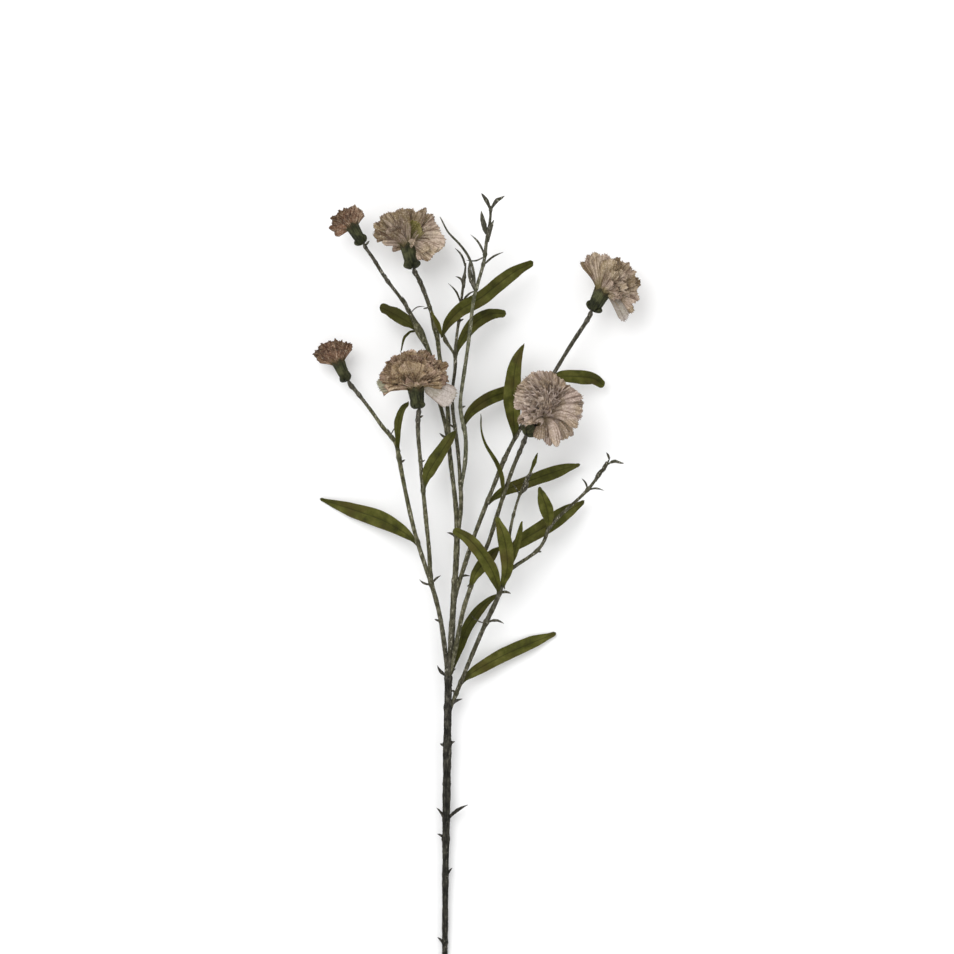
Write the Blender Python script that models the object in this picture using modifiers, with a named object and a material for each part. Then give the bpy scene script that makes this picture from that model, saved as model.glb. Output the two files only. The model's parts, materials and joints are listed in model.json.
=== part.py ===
"""A cut spray carnation, lying down: stems, leaves, calyxes and petals.

Run with: blender --background --python part.py
Units are metres, +Z is up. The flower lies on z = 0 with its stem along Y: the cut
end points to -Y and the blooms to +Y. Routes are written in millimetres, as stations
(x, y, z, half width), and every stem, leaf and petal is drawn through its stations.
"""

import math

import bmesh
import bpy
from mathutils import Matrix, Vector

# ---------------------------------------------------------------- driving dimensions
MM = 0.001
SEAT_GAP = 0.3 * MM            # clearance left where one piece grows out of another
STEM_STEP = 6.5 * MM           # spacing of the rings along a stem
LEAF_STEP = 6.0 * MM           # spacing of the rings along a leaf
STEM_END_OVERRUN = 4.0 * MM    # straight run under a calyx, so the stem meets it square
STEM_END_SWELL = 0.3           # how much wider a stem is where it meets its calyx, in mm
WELD_DISTANCE = 0.02 * MM      # points nearer than this are one point
TRUNK_ROUNDNESS = 2            # bevel steps of the trunk's section
STEM_ROUNDNESS = 1             # bevel steps of every other stem's section

# Cross-section of a leaf, in half widths: a shallow channel with a keel below.
LEAF_SECTION = ((-1.0, 0.10), (0.0, 0.03), (1.0, 0.10), (0.55, -0.05), (0.0, -0.11), (-0.55, -0.05))

# Stems: (x, y, z, radius) in millimetres, from the root end to the tip.
MAIN_STEM = (
    (-23.0, -279.5, 2.0, 1.9), (-22.8, -255, 2.8, 2.0), (-22.5, -234.5, 3.6, 2.1), (-22, -192.5, 5.2, 2.3),
    (-21.5, -150.5, 7.2, 2.7), (-21, -108.5, 9.2, 2.9), (-20.5, -80, 11.3, 2.6), (-20, -54, 13.5, 2.9),
)
MIDDLE_STEM = (
    (-20.0, -56.5, 13.5, 2.2), (-18.5, -38, 14.5, 2.2), (-17.5, -20, 15, 2.2), (-16, 2, 15.5, 2.2),
    (-14.5, 24.5, 16, 2.1), (-13.8, 44, 16.5, 2.0), (-14.5, 60, 16.5, 1.7), (-16.5, 78, 16, 1.6),
    (-18.5, 94, 15.2, 1.6), (-20, 110, 14.6, 1.6), (-20, 122, 13.8, 1.5), (-21, 134, 13.2, 1.5),
    (-23.5, 151, 13, 1.5), (-26.5, 168, 14, 1.5), (-28, 182, 17, 1.5), (-32.5, 199.5, 20.5, 1.4),
    (-37.5, 213.5, 23, 1.4), (-41, 222, 24.5, 1.5),
)
LEFT_STEM = (
    (-20.5, -55, 13.5, 1.7), (-22.5, -38.5, 15, 1.7), (-25.5, -17.5, 15.5, 1.6), (-29, -2, 16, 1.6),
    (-33, 11, 16.5, 1.6), (-37.5, 24.5, 17, 1.5), (-43, 42, 17.5, 1.5), (-48, 63, 18, 1.5),
    (-52, 82, 18, 1.5), (-55, 98, 18, 1.5), (-57.5, 108, 18, 1.4), (-65, 116, 17.2, 1.3),
    (-73, 127.5, 16.2, 1.3), (-81, 138, 15.2, 1.3), (-87.5, 146, 14.6, 1.4),
)
LEFT_BLOOM_STEM = (
    (-32, 8, 16.3, 1.5), (-33, 19, 18, 1.5), (-33.5, 31.5, 19.5, 1.5), (-35.5, 52.5, 22.5, 1.5),
    (-37.5, 73.5, 26, 1.5), (-39.5, 94.5, 30, 1.4), (-41, 112, 34, 1.4), (-41, 125, 36.8, 1.7),
)
TOP_BUD_STEM = (
    (-20, 109, 14.6, 1.5), (-22, 118, 12.6, 1.5), (-24.5, 128, 11, 1.4), (-27.5, 140, 10, 1.4),
    (-29.5, 154, 10.5, 1.4), (-33, 169.5, 14, 1.4), (-40, 184, 19, 1.4), (-47, 197.5, 23, 1.2),
    (-54, 208.5, 26, 1.2), (-63.5, 220.5, 28, 1.2), (-73, 236, 29, 1.2),
)
SHORT_SPRIG_STEM = (
    (-13.8, 46, 16.5, 1.6), (-11.5, 57, 18.5, 1.6), (-11.2, 68, 20, 1.5), (-11.8, 80, 21, 1.4),
    (-13, 98, 22, 1.3), (-15, 115.5, 23, 1.3), (-17, 129.5, 24, 1.2), (-17, 145, 25, 1.2),
    (-15, 159, 26, 1.2), (-15.3, 168, 27, 1.3), (-14.5, 178.5, 27.6, 1.0), (-12.5, 192.5, 28, 1.0),
    (-11, 204.5, 29, 1.0), (-9.5, 217, 31, 0.9), (-7.5, 231.5, 33, 0.7),
)
SPRIG_ARM = ((-15.3, 168, 27, 1.1), (-19, 173.5, 26, 1.1), (-24, 180.5, 25, 1.7))
TALL_SPRIG_STEM = (
    (-11.4, 77, 20.8, 1.4), (-9, 88, 22.8, 1.4), (-8, 98, 24, 1.5), (-8, 112, 26, 1.5),
    (-11, 125.5, 29, 1.4), (-11.5, 136.5, 31, 1.3), (-9, 154, 34, 1.3), (-6, 175, 37, 1.3),
    (-4, 192.5, 39.5, 1.3), (-2, 208, 41, 1.2), (1, 218.5, 41, 1.2), (5, 232.5, 41, 1.2),
    (6.5, 246.5, 40.5, 1.1), (9, 259, 40, 1.0), (9.5, 269.5, 40, 0.9),
)
RIGHT_BLOOM_STEM = (
    (-15.5, 0.5, 15.5, 1.6), (-10, 17, 18, 1.6), (-3, 38.5, 19.5, 1.6), (5, 59.5, 20, 1.5),
    (12, 77, 20, 1.5), (19, 94.5, 20, 1.6), (27, 110.5, 20, 1.4), (40, 133, 20, 1.4),
    (53, 154, 21, 1.4), (66, 175.5, 22, 1.4), (77, 192, 23.6, 1.5),
)
CENTRE_BLOOM_STEM = (
    (-18.5, -52.5, 14.5, 1.6), (-14.5, -34, 17.6, 1.6), (-10, -12, 19.6, 1.6), (-4.5, 5, 21, 1.5),
    (2, 23, 22.5, 1.5), (8, 36.5, 24, 1.5), (13, 52.5, 25.5, 1.5), (18.5, 70, 27, 1.4),
    (25, 89, 28.2, 1.4), (31, 103, 29, 1.5),
)
LOWER_STEM = (
    (-20, -81, 11.2, 1.5), (-15.5, -71, 11.8, 1.5), (-9.5, -56.5, 12.6, 1.5), (-2, -38.5, 14, 1.5),
    (6.5, -19, 17, 1.7), (15, -1, 21.5, 1.6), (19, 11.5, 24.4, 1.4), (23, 18, 25.6, 1.3),
    (29.5, 22.5, 26.6, 1.2), (41, 30, 27, 1.2), (47, 38, 27, 1.3), (50, 47.5, 27.6, 1.3),
    (57.5, 55.5, 28.6, 1.2), (68, 65, 29, 1.1), (77.5, 74, 29.4, 1.1), (86, 85.5, 29.8, 0.9),
    (93.5, 96, 30, 0.8),
)
LOWER_TWIG = (
    (18.3, 8, 23.6, 1.1), (20.5, 17, 24.6, 1.1), (21.5, 26, 25.8, 1.1), (23, 44, 27.6, 1.0),
    (25.5, 56.5, 29, 1.0), (29.5, 70, 30, 0.9), (34.5, 80.5, 30.8, 1.0), (38, 88, 31, 0.7),
)

# Leaves: name, pieces that carry them, and stations (x, y, z, half width) in millimetres.
LEAVES = (
    ("leaf_left_long", ("left_bud_stem",), ((-41.4, 36.2, 17.4, 0.9), (-46, 40, 16.8, 2.6),
     (-53, 45, 15, 4.2), (-68, 53, 9, 5.6), (-89, 60, 4, 5.0), (-103, 64.5, 2, 2.6),
     (-110.5, 67.5, 1.2, 0.7))),
    ("leaf_left_curled", ("left_bud_stem", "left_bloom_stem"), ((-55.6, 100, 18.8, 1.0),
     (-55.3, 110, 20.2, 1.8), (-55, 121, 21.5, 2.7), (-51.5, 130.5, 23, 2.6), (-47, 134.5, 24, 1.2))),
    ("leaf_left_bloom", ("left_bloom_stem", "left_bud_stem"), ((-38, 74.5, 26.3, 1.3), (-34.5, 84.5, 29, 3.6),
     (-27.5, 96.5, 31, 4.3), (-20.5, 107, 31.5, 3.4), (-15, 115, 31, 0.8))),
    ("leaf_top_bud_blunt", ("top_bud_stem",), ((-40.6, 185, 19.6, 1.2), (-48.5, 191, 20.5, 3.4),
     (-57.5, 196.5, 19.5, 4.2), (-64, 200, 18, 3.4), (-67.5, 201.8, 17, 1.4))),
    ("leaf_top_bud_thin", ("top_bud_stem",), ((-41, 184.8, 18.2, 0.7), (-46.5, 184.6, 17, 1.1),
     (-51, 180.5, 15, 1.1), (-53.3, 170, 11, 0.5))),
    ("leaf_arm_long", ("short_sprig_arm",), ((-23.5, 181.3, 25.6, 0.8), (-20.5, 189.5, 29.5, 3.0),
     (-11, 199.5, 33, 4.6), (2, 206.5, 33, 5.2), (15.5, 217.5, 31, 5.2), (28.5, 227, 28, 3.6),
     (39.5, 232, 24, 0.8))),
    ("leaf_arm_sheath", ("short_sprig_arm",), ((-24.6, 181.2, 25, 0.7), (-27, 188.5, 26, 1.6),
     (-32, 198, 26, 0.6))),
    ("leaf_sprig_blunt", ("short_sprig_stem",), ((-14.5, 169, 27, 0.9), (-10, 179, 25.2, 2.6),
     (-2.5, 189.5, 23.5, 3.7), (7.5, 196, 21.5, 3.8), (15, 197, 19.6, 3.0), (20, 195.7, 18, 1.2))),
    ("leaf_tall_sprig", ("tall_sprig_stem",), ((-9.8, 118, 27.2, 1.2), (-4.5, 128, 25, 3.0),
     (6.5, 136.5, 20, 4.4), (20, 142, 15, 4.4), (30, 144.5, 12, 3.0), (37, 145.5, 10, 1.0))),
    ("leaf_upright", ("right_bloom_stem",), ((27.2, 111, 20.6, 1.4), (25.5, 126, 23.2, 4.4),
     (25, 143.5, 24.5, 5.2), (27, 161, 24.5, 4.0), (31, 172, 23, 1.6), (33.5, 175.5, 22, 0.6))),
    ("leaf_right_bloom", ("right_bloom_stem",), ((51.5, 151.6, 20.8, 1.2), (60, 153, 19.4, 3.4),
     (72, 152.8, 16, 4.2), (82, 151.5, 12.4, 3.4), (88.8, 146.3, 9, 0.9))),
    ("leaf_centre_thin", ("centre_bloom_stem",), ((18.2, 69, 27, 0.8), (17.6, 82, 30.5, 2.0),
     (13, 94, 32.5, 1.8), (6, 105, 34, 1.1), (3, 115.5, 35, 0.9), (3, 126.5, 35.5, 0.5))),
    ("leaf_centre_long", ("right_bloom_stem",), ((8, 65, 20.2, 1.2), (19, 73, 20.2, 3.4),
     (37, 80, 18, 4.8), (54, 86, 14, 4.6), (65, 89.5, 10.5, 2.8), (72.5, 91, 8, 0.8))),
    ("leaf_lower_sprig", ("lower_right_stem",), ((50, 47, 28, 1.2), (49.5, 56, 31, 3.4),
     (46.5, 66.5, 32.5, 3.8), (43, 75.5, 31.5, 0.9))),
    ("leaf_twig_long", ("lower_right_twig",), ((22.2, 30, 26, 1.2), (31, 38, 22, 4.4),
     (47, 47.5, 18, 5.6), (62.5, 58, 13, 4.6), (75.5, 65.5, 8, 0.9))),
    ("leaf_over_stems", ("lower_right_stem",), ((15.8, 1, 22.4, 1.0), (13, 10.5, 27.5, 2.6),
     (9.5, 19.5, 31, 3.8), (2, 31, 32.2, 3.9), (-6.5, 40, 31, 3.2), (-16.5, 45.8, 29, 0.8))),
    ("leaf_fork_tall", ("lower_right_stem",), ((17.6, 5.5, 23.6, 1.0), (19.2, 12, 28.6, 2.2),
     (21.3, 20.5, 32, 3.6), (19.3, 38.5, 35, 4.2), (13.5, 54.8, 35.5, 0.9))),
    ("leaf_fork_small", ("lower_right_stem",), ((19.4, 12.6, 25, 0.8), (21.6, 18.5, 29, 1.6),
     (25, 27.5, 31, 2.4), (29, 40.5, 32, 2.2), (31, 52, 31.4, 0.7))),
    ("leaf_centre_low", ("centre_bloom_stem",), ((-4.4, 5.4, 21.6, 1.0), (-0.8, 15.5, 25.4, 3.2),
     (6.5, 24.5, 27, 4.2), (12, 30, 26.6, 3.0), (15.8, 33.5, 26, 0.8))),
    ("leaf_fork_dark", ("main_stem", "middle_stem"), ((-18, -54, 12.6, 1.0), (-12.5, -38.5, 11.2, 2.6),
     (-7.5, -24, 9.4, 3.5), (2, -10, 7.4, 3.4), (10, -3, 6.2, 2.2), (15.3, 0, 5.6, 0.8))),
    ("leaf_lowest", ("lower_right_stem",), ((-11, -60.5, 12.4, 1.3), (-2, -54, 10, 3.4),
     (19, -42.5, 5.4, 5.0), (40, -33.5, 2.6, 4.0), (55.8, -27.6, 1.4, 0.9))),
    ("leaf_twig_tip", ("lower_right_twig",), ((37.8, 87.4, 31, 0.7), (40, 93, 32, 1.4), (42, 99.5, 32, 0.5))),
    ("leaf_tall_sprig_thin", ("tall_sprig_stem",), ((-1, 212.5, 41.4, 0.8), (-2.5, 226, 43, 1.5),
     (-6.5, 236.5, 44, 1.6), (-13.5, 245.5, 44, 1.4), (-20, 252, 43.5, 1.2), (-25.5, 263, 42.5, 0.6))),
    ("bract_tall_tip_left", ("tall_sprig_stem",), ((9.2, 268.9, 40, 0.6), (6.5, 274.5, 40.6, 1.1),
     (3.1, 279.3, 41, 0.4))),
    ("bract_tall_tip_right", ("tall_sprig_stem",), ((9.9, 268.9, 40.2, 0.6), (13.6, 274.4, 40.8, 1.1),
     (19.2, 277.2, 41, 0.4))),
    ("bract_side_sprig", ("lower_right_stem",), ((90.2, 91.6, 30, 0.6), (95.5, 93.8, 30.6, 1.0),
     (102, 91.8, 31, 0.4))),
)

# Flowers: calyx base and the way the flower faces, then calyx length, calyx mouth radius,
# petal head radius, petal head depth, and how far the head is pressed flat (1 is round).
FLOWERS = {
    "left_bud": dict(base=(-92.0, 151.9, 14.2), facing=(-0.42, 0.91, -0.06), calyx=13, mouth=4.6,
                     head=13.8, depth=16.5, flat=0.9),
    "top_bud": dict(base=(-80.8, 247.1, 29.0), facing=(-0.51, 0.86, -0.22), calyx=13, mouth=4.6,
                    head=12.5, depth=16.0, flat=0.95),
    "top_bloom": dict(base=(-45.2, 230.3, 25.1), facing=(-0.17, 0.97, -0.12), calyx=15, mouth=6.0,
                      head=27.0, depth=26.0, flat=0.79),
    "left_bloom": dict(base=(-41.0, 132.3, 38.0), facing=(-0.12, 0.99, 0.02), calyx=12.5, mouth=5.8,
                       head=26.5, depth=27.0, flat=0.79),
    "right_bloom": dict(base=(81.6, 200.6, 24.3), facing=(0.47, 0.88, -0.10), calyx=13, mouth=6.0,
                        head=23.0, depth=26.0, flat=0.92),
    "centre_bloom": dict(base=(36.4, 114.2, 31.5), facing=(0.50, 0.60, 0.62), calyx=12.5, mouth=5.8,
                         head=27.0, depth=22.0, flat=1.0),
}

# Large petals that have come away from the head: name, flower, stations in millimetres.
LOOSE_PETALS = (
    ("petal_left_bloom_pale", "left_bloom", ((-38, 150, 31, 2.0), (-30.5, 143.5, 28.5, 5.4),
     (-22, 138.6, 28, 8.6), (-16.5, 136.2, 28.6, 8.0), (-13.4, 135, 29.4, 4.0))),
    ("petal_left_bloom_green", "left_bloom", ((-56, 150, 34, 1.6), (-61, 145.4, 32, 3.8),
     (-66.5, 142, 31.4, 3.6), (-69.4, 140.6, 31.6, 1.6))),
    ("petal_right_bloom_drooping", "right_bloom", ((100, 213, 27, 2.0), (103.5, 205, 28, 5.2),
     (105, 197, 26.5, 6.4), (104.8, 191.5, 25.4, 3.4))),
)

HEAD_RIBS = 10                 # soft flutes round a petal head
HEAD_FLUTE = 0.045             # depth of a flute, as a share of the head radius
HEAD_SEGMENTS = 20
CALYX_STEPS = 14
CALYX_BASE_RADIUS = 3.2 * MM
CALYX_WALL = 0.8 * MM
CALYX_FLOOR = 3.0 * MM
CALYX_SHOULDER = 0.55          # height of the calyx shoulder, as a share of its length
CALYX_SHOULDER_SWELL = 1.02    # its radius there, as a share of the mouth radius
CALYX_HEEL = 0.12              # height of the rounded heel, as a share of the length
CALYX_FOOT_TAPER = 0.86        # radius of the foot, as a share of the base radius
THROAT_FOOT_TAPER = 0.72       # radius of the hollow's floor, as a share of the throat
# The petals' neck in the calyx: a collar over the rim, then the bundle of claws.
COLLAR_TAPER = 0.95            # collar radius, as a share of the mouth radius
COLLAR_RISE = 1.0 * MM         # how far the collar stands above the mouth
NECK_RISE = 0.4 * MM           # how far the top of the neck stands above the mouth
NECK_SHOULDER = 0.58           # height of the neck's shoulder, as a share of the calyx length
NECK_SHOULDER_TAPER = 0.98
NECK_FOOT_TAPER = 0.70
NECK_FLOOR_GAP = 1.3 * SEAT_GAP
# Petal head, turned: (share of the head radius, share of the head depth), crown to throat.
HEAD_PROFILE = (
    (0.34, 0.97), (0.66, 0.88), (0.90, 0.70), (1.00, 0.48), (0.96, 0.28), (0.74, 0.13), (0.44, 0.07),
)


# ---------------------------------------------------------------- scene and materials
def clear_scene():
    for old in list(bpy.data.objects):
        bpy.data.objects.remove(old, do_unlink=True)


def new_collection(name):
    group = bpy.data.collections.new(name)
    bpy.context.scene.collection.children.link(group)
    return group


def material(name, colour, roughness):
    """One Principled material of the given colour and roughness."""
    made = bpy.data.materials.new(name)
    made.use_nodes = True
    shader = made.node_tree.nodes["Principled BSDF"]
    shader.inputs["Base Color"].default_value = (*colour, 1.0)
    shader.inputs["Roughness"].default_value = roughness
    shader.inputs["Metallic"].default_value = 0.0
    return made


# ---------------------------------------------------------------- routes
def smooth_route(stations, step):
    """Catmull-Rom curve through the stations, read off about one step apart.

    A station is (x, y, z, half width) in millimetres; the result is in metres.
    """
    knots = [Vector(station) * MM for station in stations]
    ends = [knots[0] * 2 - knots[1]] + knots + [knots[-1] * 2 - knots[-2]]
    route = []
    for before, start, end, after in zip(ends, ends[1:], ends[2:], ends[3:]):
        count = max(1, round((end - start).length / step))
        for index in range(count):
            t = index / count
            route.append(0.5 * (2 * start + (end - before) * t
                                + (2 * before - 5 * start + 4 * end - after) * t ** 2
                                + (3 * start - before - 3 * end + after) * t ** 3))
    route.append(knots[-1])
    return route


def mesh_from_curve(curve_object, name, collection):
    """Turn a curve into a closed mesh object with its end caps welded on."""
    bpy.context.view_layer.update()
    depsgraph = bpy.context.evaluated_depsgraph_get()
    mesh = bpy.data.meshes.new_from_object(curve_object.evaluated_get(depsgraph))
    mesh.name = name
    shape = bmesh.new()
    shape.from_mesh(mesh)
    bmesh.ops.remove_doubles(shape, verts=shape.verts, dist=WELD_DISTANCE)
    bmesh.ops.recalc_face_normals(shape, faces=shape.faces)
    shape.to_mesh(mesh)
    shape.free()
    mesh.materials.clear()
    made = bpy.data.objects.new(name, mesh)
    made.matrix_world = curve_object.matrix_world
    collection.objects.link(made)
    bpy.data.objects.remove(curve_object, do_unlink=True)
    return made


def curve_through(name, route, grow):
    """A poly curve through the route, its radius at each point grown by the given amount."""
    curve = bpy.data.curves.new(name + "_path", "CURVE")
    curve.dimensions = "3D"
    curve.twist_mode = "Z_UP"
    curve.use_fill_caps = True
    spline = curve.splines.new("POLY")
    spline.points.add(len(route) - 1)
    for point, (x, y, z, half_width) in zip(spline.points, route):
        point.co = (x, y, z, 1.0)
        point.radius = (half_width + grow) / MM
    holder = bpy.data.objects.new(name + "_path", curve)
    bpy.context.scene.collection.objects.link(holder)
    return holder


def lengthen(route, amount):
    """The same route with both ends moved outwards along their own direction."""
    longer = [point.copy() for point in route]
    first_way = Vector(route[0][:3]) - Vector(route[1][:3])
    last_way = Vector(route[-1][:3]) - Vector(route[-2][:3])
    longer[0].xyz = Vector(route[0][:3]) + first_way.normalized() * amount
    longer[-1].xyz = Vector(route[-1][:3]) + last_way.normalized() * amount
    return longer


def tube(name, route, collection, grow=0.0):
    """A round tapering stem along the route."""
    holder = curve_through(name, lengthen(route, grow) if grow else route, grow)
    holder.data.bevel_depth = MM
    holder.data.bevel_resolution = TRUNK_ROUNDNESS if name.startswith("main_stem") else STEM_ROUNDNESS
    return mesh_from_curve(holder, name, collection)


def blade(name, route, section, collection):
    """A leaf or petal: the flat section carried along the route, scaled by its half width."""
    outline = bpy.data.curves.new(name + "_section", "CURVE")
    outline.dimensions = "2D"
    edge = outline.splines.new("POLY")
    edge.points.add(len(section) - 1)
    edge.use_cyclic_u = True
    for point, (across, up) in zip(edge.points, section):
        point.co = (across * MM, up * MM, 0.0, 1.0)
    section_object = bpy.data.objects.new(name + "_section", outline)
    bpy.context.scene.collection.objects.link(section_object)
    holder = curve_through(name, route, 0.0)
    holder.data.bevel_mode = "OBJECT"
    holder.data.bevel_object = section_object
    made = mesh_from_curve(holder, name, collection)
    bpy.data.objects.remove(section_object, do_unlink=True)
    return made


# ---------------------------------------------------------------- flower parts
def flower_frame(flower):
    """Matrix that puts local +Z along the way a flower faces, with local X level."""
    facing = Vector(flower["facing"]).normalized()
    level = Vector((0, 0, 1)).cross(facing).normalized()
    upward = facing.cross(level)
    frame = Matrix((level, upward, facing)).transposed().to_4x4()
    frame.translation = Vector(flower["base"]) * MM
    return frame


def calyx_size(flower):
    """Length, mouth radius and throat radius of a calyx, in metres."""
    length = flower["calyx"] * MM
    mouth = flower["mouth"] * MM
    return length, mouth, mouth - CALYX_WALL


def calyx_cup(name, flower, collection):
    """The green cup under the petals: a turned wall with a closed floor."""
    length, mouth, throat = calyx_size(flower)
    profile = (
        (0.0, CALYX_FLOOR), (throat * THROAT_FOOT_TAPER, CALYX_FLOOR), (throat, length * CALYX_SHOULDER),
        (throat, length), (mouth, length), (mouth * CALYX_SHOULDER_SWELL, length * CALYX_SHOULDER),
        (CALYX_BASE_RADIUS, length * CALYX_HEEL), (CALYX_BASE_RADIUS * CALYX_FOOT_TAPER, 0.0), (0.0, 0.0),
    )
    mesh = bpy.data.meshes.new(name)
    mesh.from_pydata([(radius, 0.0, height) for radius, height in profile],
                     [(index, index + 1) for index in range(len(profile) - 1)], [])
    cup = bpy.data.objects.new(name, mesh)
    collection.objects.link(cup)
    cup.matrix_world = flower_frame(flower)
    screw = cup.modifiers.new("turned", "SCREW")
    screw.angle = math.tau
    screw.steps = CALYX_STEPS
    screw.render_steps = CALYX_STEPS
    screw.use_merge_vertices = True
    screw.merge_threshold = WELD_DISTANCE
    return cup


def petal_head(name, flower, collection, grow=0.0):
    """The mass of petals: a fluted turned form whose claws stand in the calyx."""
    length, mouth, throat = calyx_size(flower)
    radius = flower["head"] * MM
    depth = flower["depth"] * MM
    neck = throat - SEAT_GAP + grow
    rows = [(radius * share + grow, length + depth * rise, 1.0) for share, rise in HEAD_PROFILE]
    rows += [(mouth * COLLAR_TAPER + grow, length + COLLAR_RISE - grow, 0.0),
             (neck, length + NECK_RISE, 0.0),
             (neck * NECK_SHOULDER_TAPER, length * NECK_SHOULDER, 0.0),
             (neck * NECK_FOOT_TAPER, CALYX_FLOOR + NECK_FLOOR_GAP - grow, 0.0)]
    shape = bmesh.new()
    bmesh.ops.create_uvsphere(shape, u_segments=HEAD_SEGMENTS, v_segments=len(rows) + 1, radius=1.0)
    for vertex in shape.verts:
        turn = math.atan2(vertex.co.y, vertex.co.x)
        place = math.acos(max(-1.0, min(1.0, vertex.co.z))) / math.pi * (len(rows) + 1)
        row = round(place)
        if row == 0:
            vertex.co = (0.0, 0.0, length + depth + grow)
            continue
        if row == len(rows) + 1:
            vertex.co = (0.0, 0.0, rows[-1][1])
            continue
        across, height, fluted = rows[row - 1]
        across *= 1.0 + HEAD_FLUTE * fluted * math.cos(HEAD_RIBS * turn + row)
        pressed = flower["flat"] if fluted else 1.0
        vertex.co = (across * math.cos(turn), across * math.sin(turn) * pressed, height)
    bmesh.ops.recalc_face_normals(shape, faces=shape.faces)
    mesh = bpy.data.meshes.new(name)
    shape.to_mesh(mesh)
    shape.free()
    head = bpy.data.objects.new(name, mesh)
    head.matrix_world = flower_frame(flower)
    collection.objects.link(head)
    return head


# ---------------------------------------------------------------- seats
def seat(piece, cutters):
    """Cut a piece back to the grown copies of what carries it, which leaves the seat gap."""
    for cutter in cutters:
        cut = piece.modifiers.new("seat_on_" + cutter.name, "BOOLEAN")
        cut.operation = "DIFFERENCE"
        cut.solver = "EXACT"
        cut.object = cutter


def stem_to_flower(stations, flower):
    """Add a straight end square to the calyx, stopping one seat gap below it."""
    facing = Vector(flower["facing"]).normalized()
    base = Vector(flower["base"])
    radius = stations[-1][3]
    end = base - facing * (SEAT_GAP / MM)
    before = base - facing * (STEM_END_OVERRUN / MM)
    return stations + ((*before, radius), (*end, radius + STEM_END_SWELL))


# ---------------------------------------------------------------- build
clear_scene()
plant = new_collection("cut_carnation")
guides = new_collection("seat_cutters")

bark = material("dark_stem", (0.045, 0.041, 0.030), 0.80)
green = material("green_stem", (0.16, 0.17, 0.10), 0.70)
leaf_green = material("leaf_green", (0.075, 0.085, 0.016), 0.60)
sepal_green = material("calyx_green", (0.035, 0.045, 0.025), 0.75)
petal_tan = material("petal_tan", (0.32, 0.22, 0.15), 0.85)
petal_pale = material("petal_pale", (0.50, 0.44, 0.40), 0.80)

# name, stations, pieces it grows from, flower it carries, material
STEMS = (
    ("main_stem", MAIN_STEM, (), None, bark),
    ("middle_stem", MIDDLE_STEM, ("main_stem",), "top_bloom", green),
    ("left_bud_stem", LEFT_STEM, ("main_stem", "middle_stem"), "left_bud", green),
    ("left_bloom_stem", LEFT_BLOOM_STEM, ("left_bud_stem",), "left_bloom", green),
    ("top_bud_stem", TOP_BUD_STEM, ("middle_stem",), "top_bud", green),
    ("short_sprig_stem", SHORT_SPRIG_STEM, ("middle_stem",), None, green),
    ("short_sprig_arm", SPRIG_ARM, ("short_sprig_stem",), None, green),
    ("tall_sprig_stem", TALL_SPRIG_STEM, ("short_sprig_stem",), None, green),
    ("right_bloom_stem", RIGHT_BLOOM_STEM, ("middle_stem",), "right_bloom", green),
    ("centre_bloom_stem", CENTRE_BLOOM_STEM, ("main_stem", "middle_stem"), "centre_bloom", green),
    ("lower_right_stem", LOWER_STEM, ("main_stem",), None, green),
    ("lower_right_twig", LOWER_TWIG, ("lower_right_stem",), None, green),
)

grown = {}
for stem_name, stations, parents, flower_name, finish in STEMS:
    if flower_name:
        stations = stem_to_flower(stations, FLOWERS[flower_name])
    path = smooth_route(stations, STEM_STEP)
    stem = tube(stem_name, path, plant)
    stem.data.materials.append(finish)
    grown[stem_name] = tube(stem_name + "_grown", path, guides, grow=SEAT_GAP)
    seat(stem, [grown[parent] for parent in parents])

for leaf_name, parents, stations in LEAVES:
    leaf = blade(leaf_name, smooth_route(stations, LEAF_STEP), LEAF_SECTION, plant)
    leaf.data.materials.append(leaf_green)
    seat(leaf, [grown[parent] for parent in parents])

for flower_name, flower in FLOWERS.items():
    cup = calyx_cup("calyx_" + flower_name, flower, plant)
    cup.data.materials.append(sepal_green)
    head = petal_head("petals_" + flower_name, flower, plant)
    head.data.materials.append(petal_tan)
    grown[flower_name] = petal_head("petals_" + flower_name + "_grown", flower, guides, grow=SEAT_GAP)

for petal_name, flower_name, stations in LOOSE_PETALS:
    petal = blade(petal_name, smooth_route(stations, LEAF_STEP), LEAF_SECTION, plant)
    petal.data.materials.append(petal_pale)
    seat(petal, [grown[flower_name]])

for cutter in guides.objects:
    cutter.hide_render = True
    cutter.display_type = "WIRE"
for piece in plant.objects:
    piece.data.shade_smooth()
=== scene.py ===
"""A cut spray carnation lying on a pale surface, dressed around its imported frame."""
import json
import math

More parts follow.
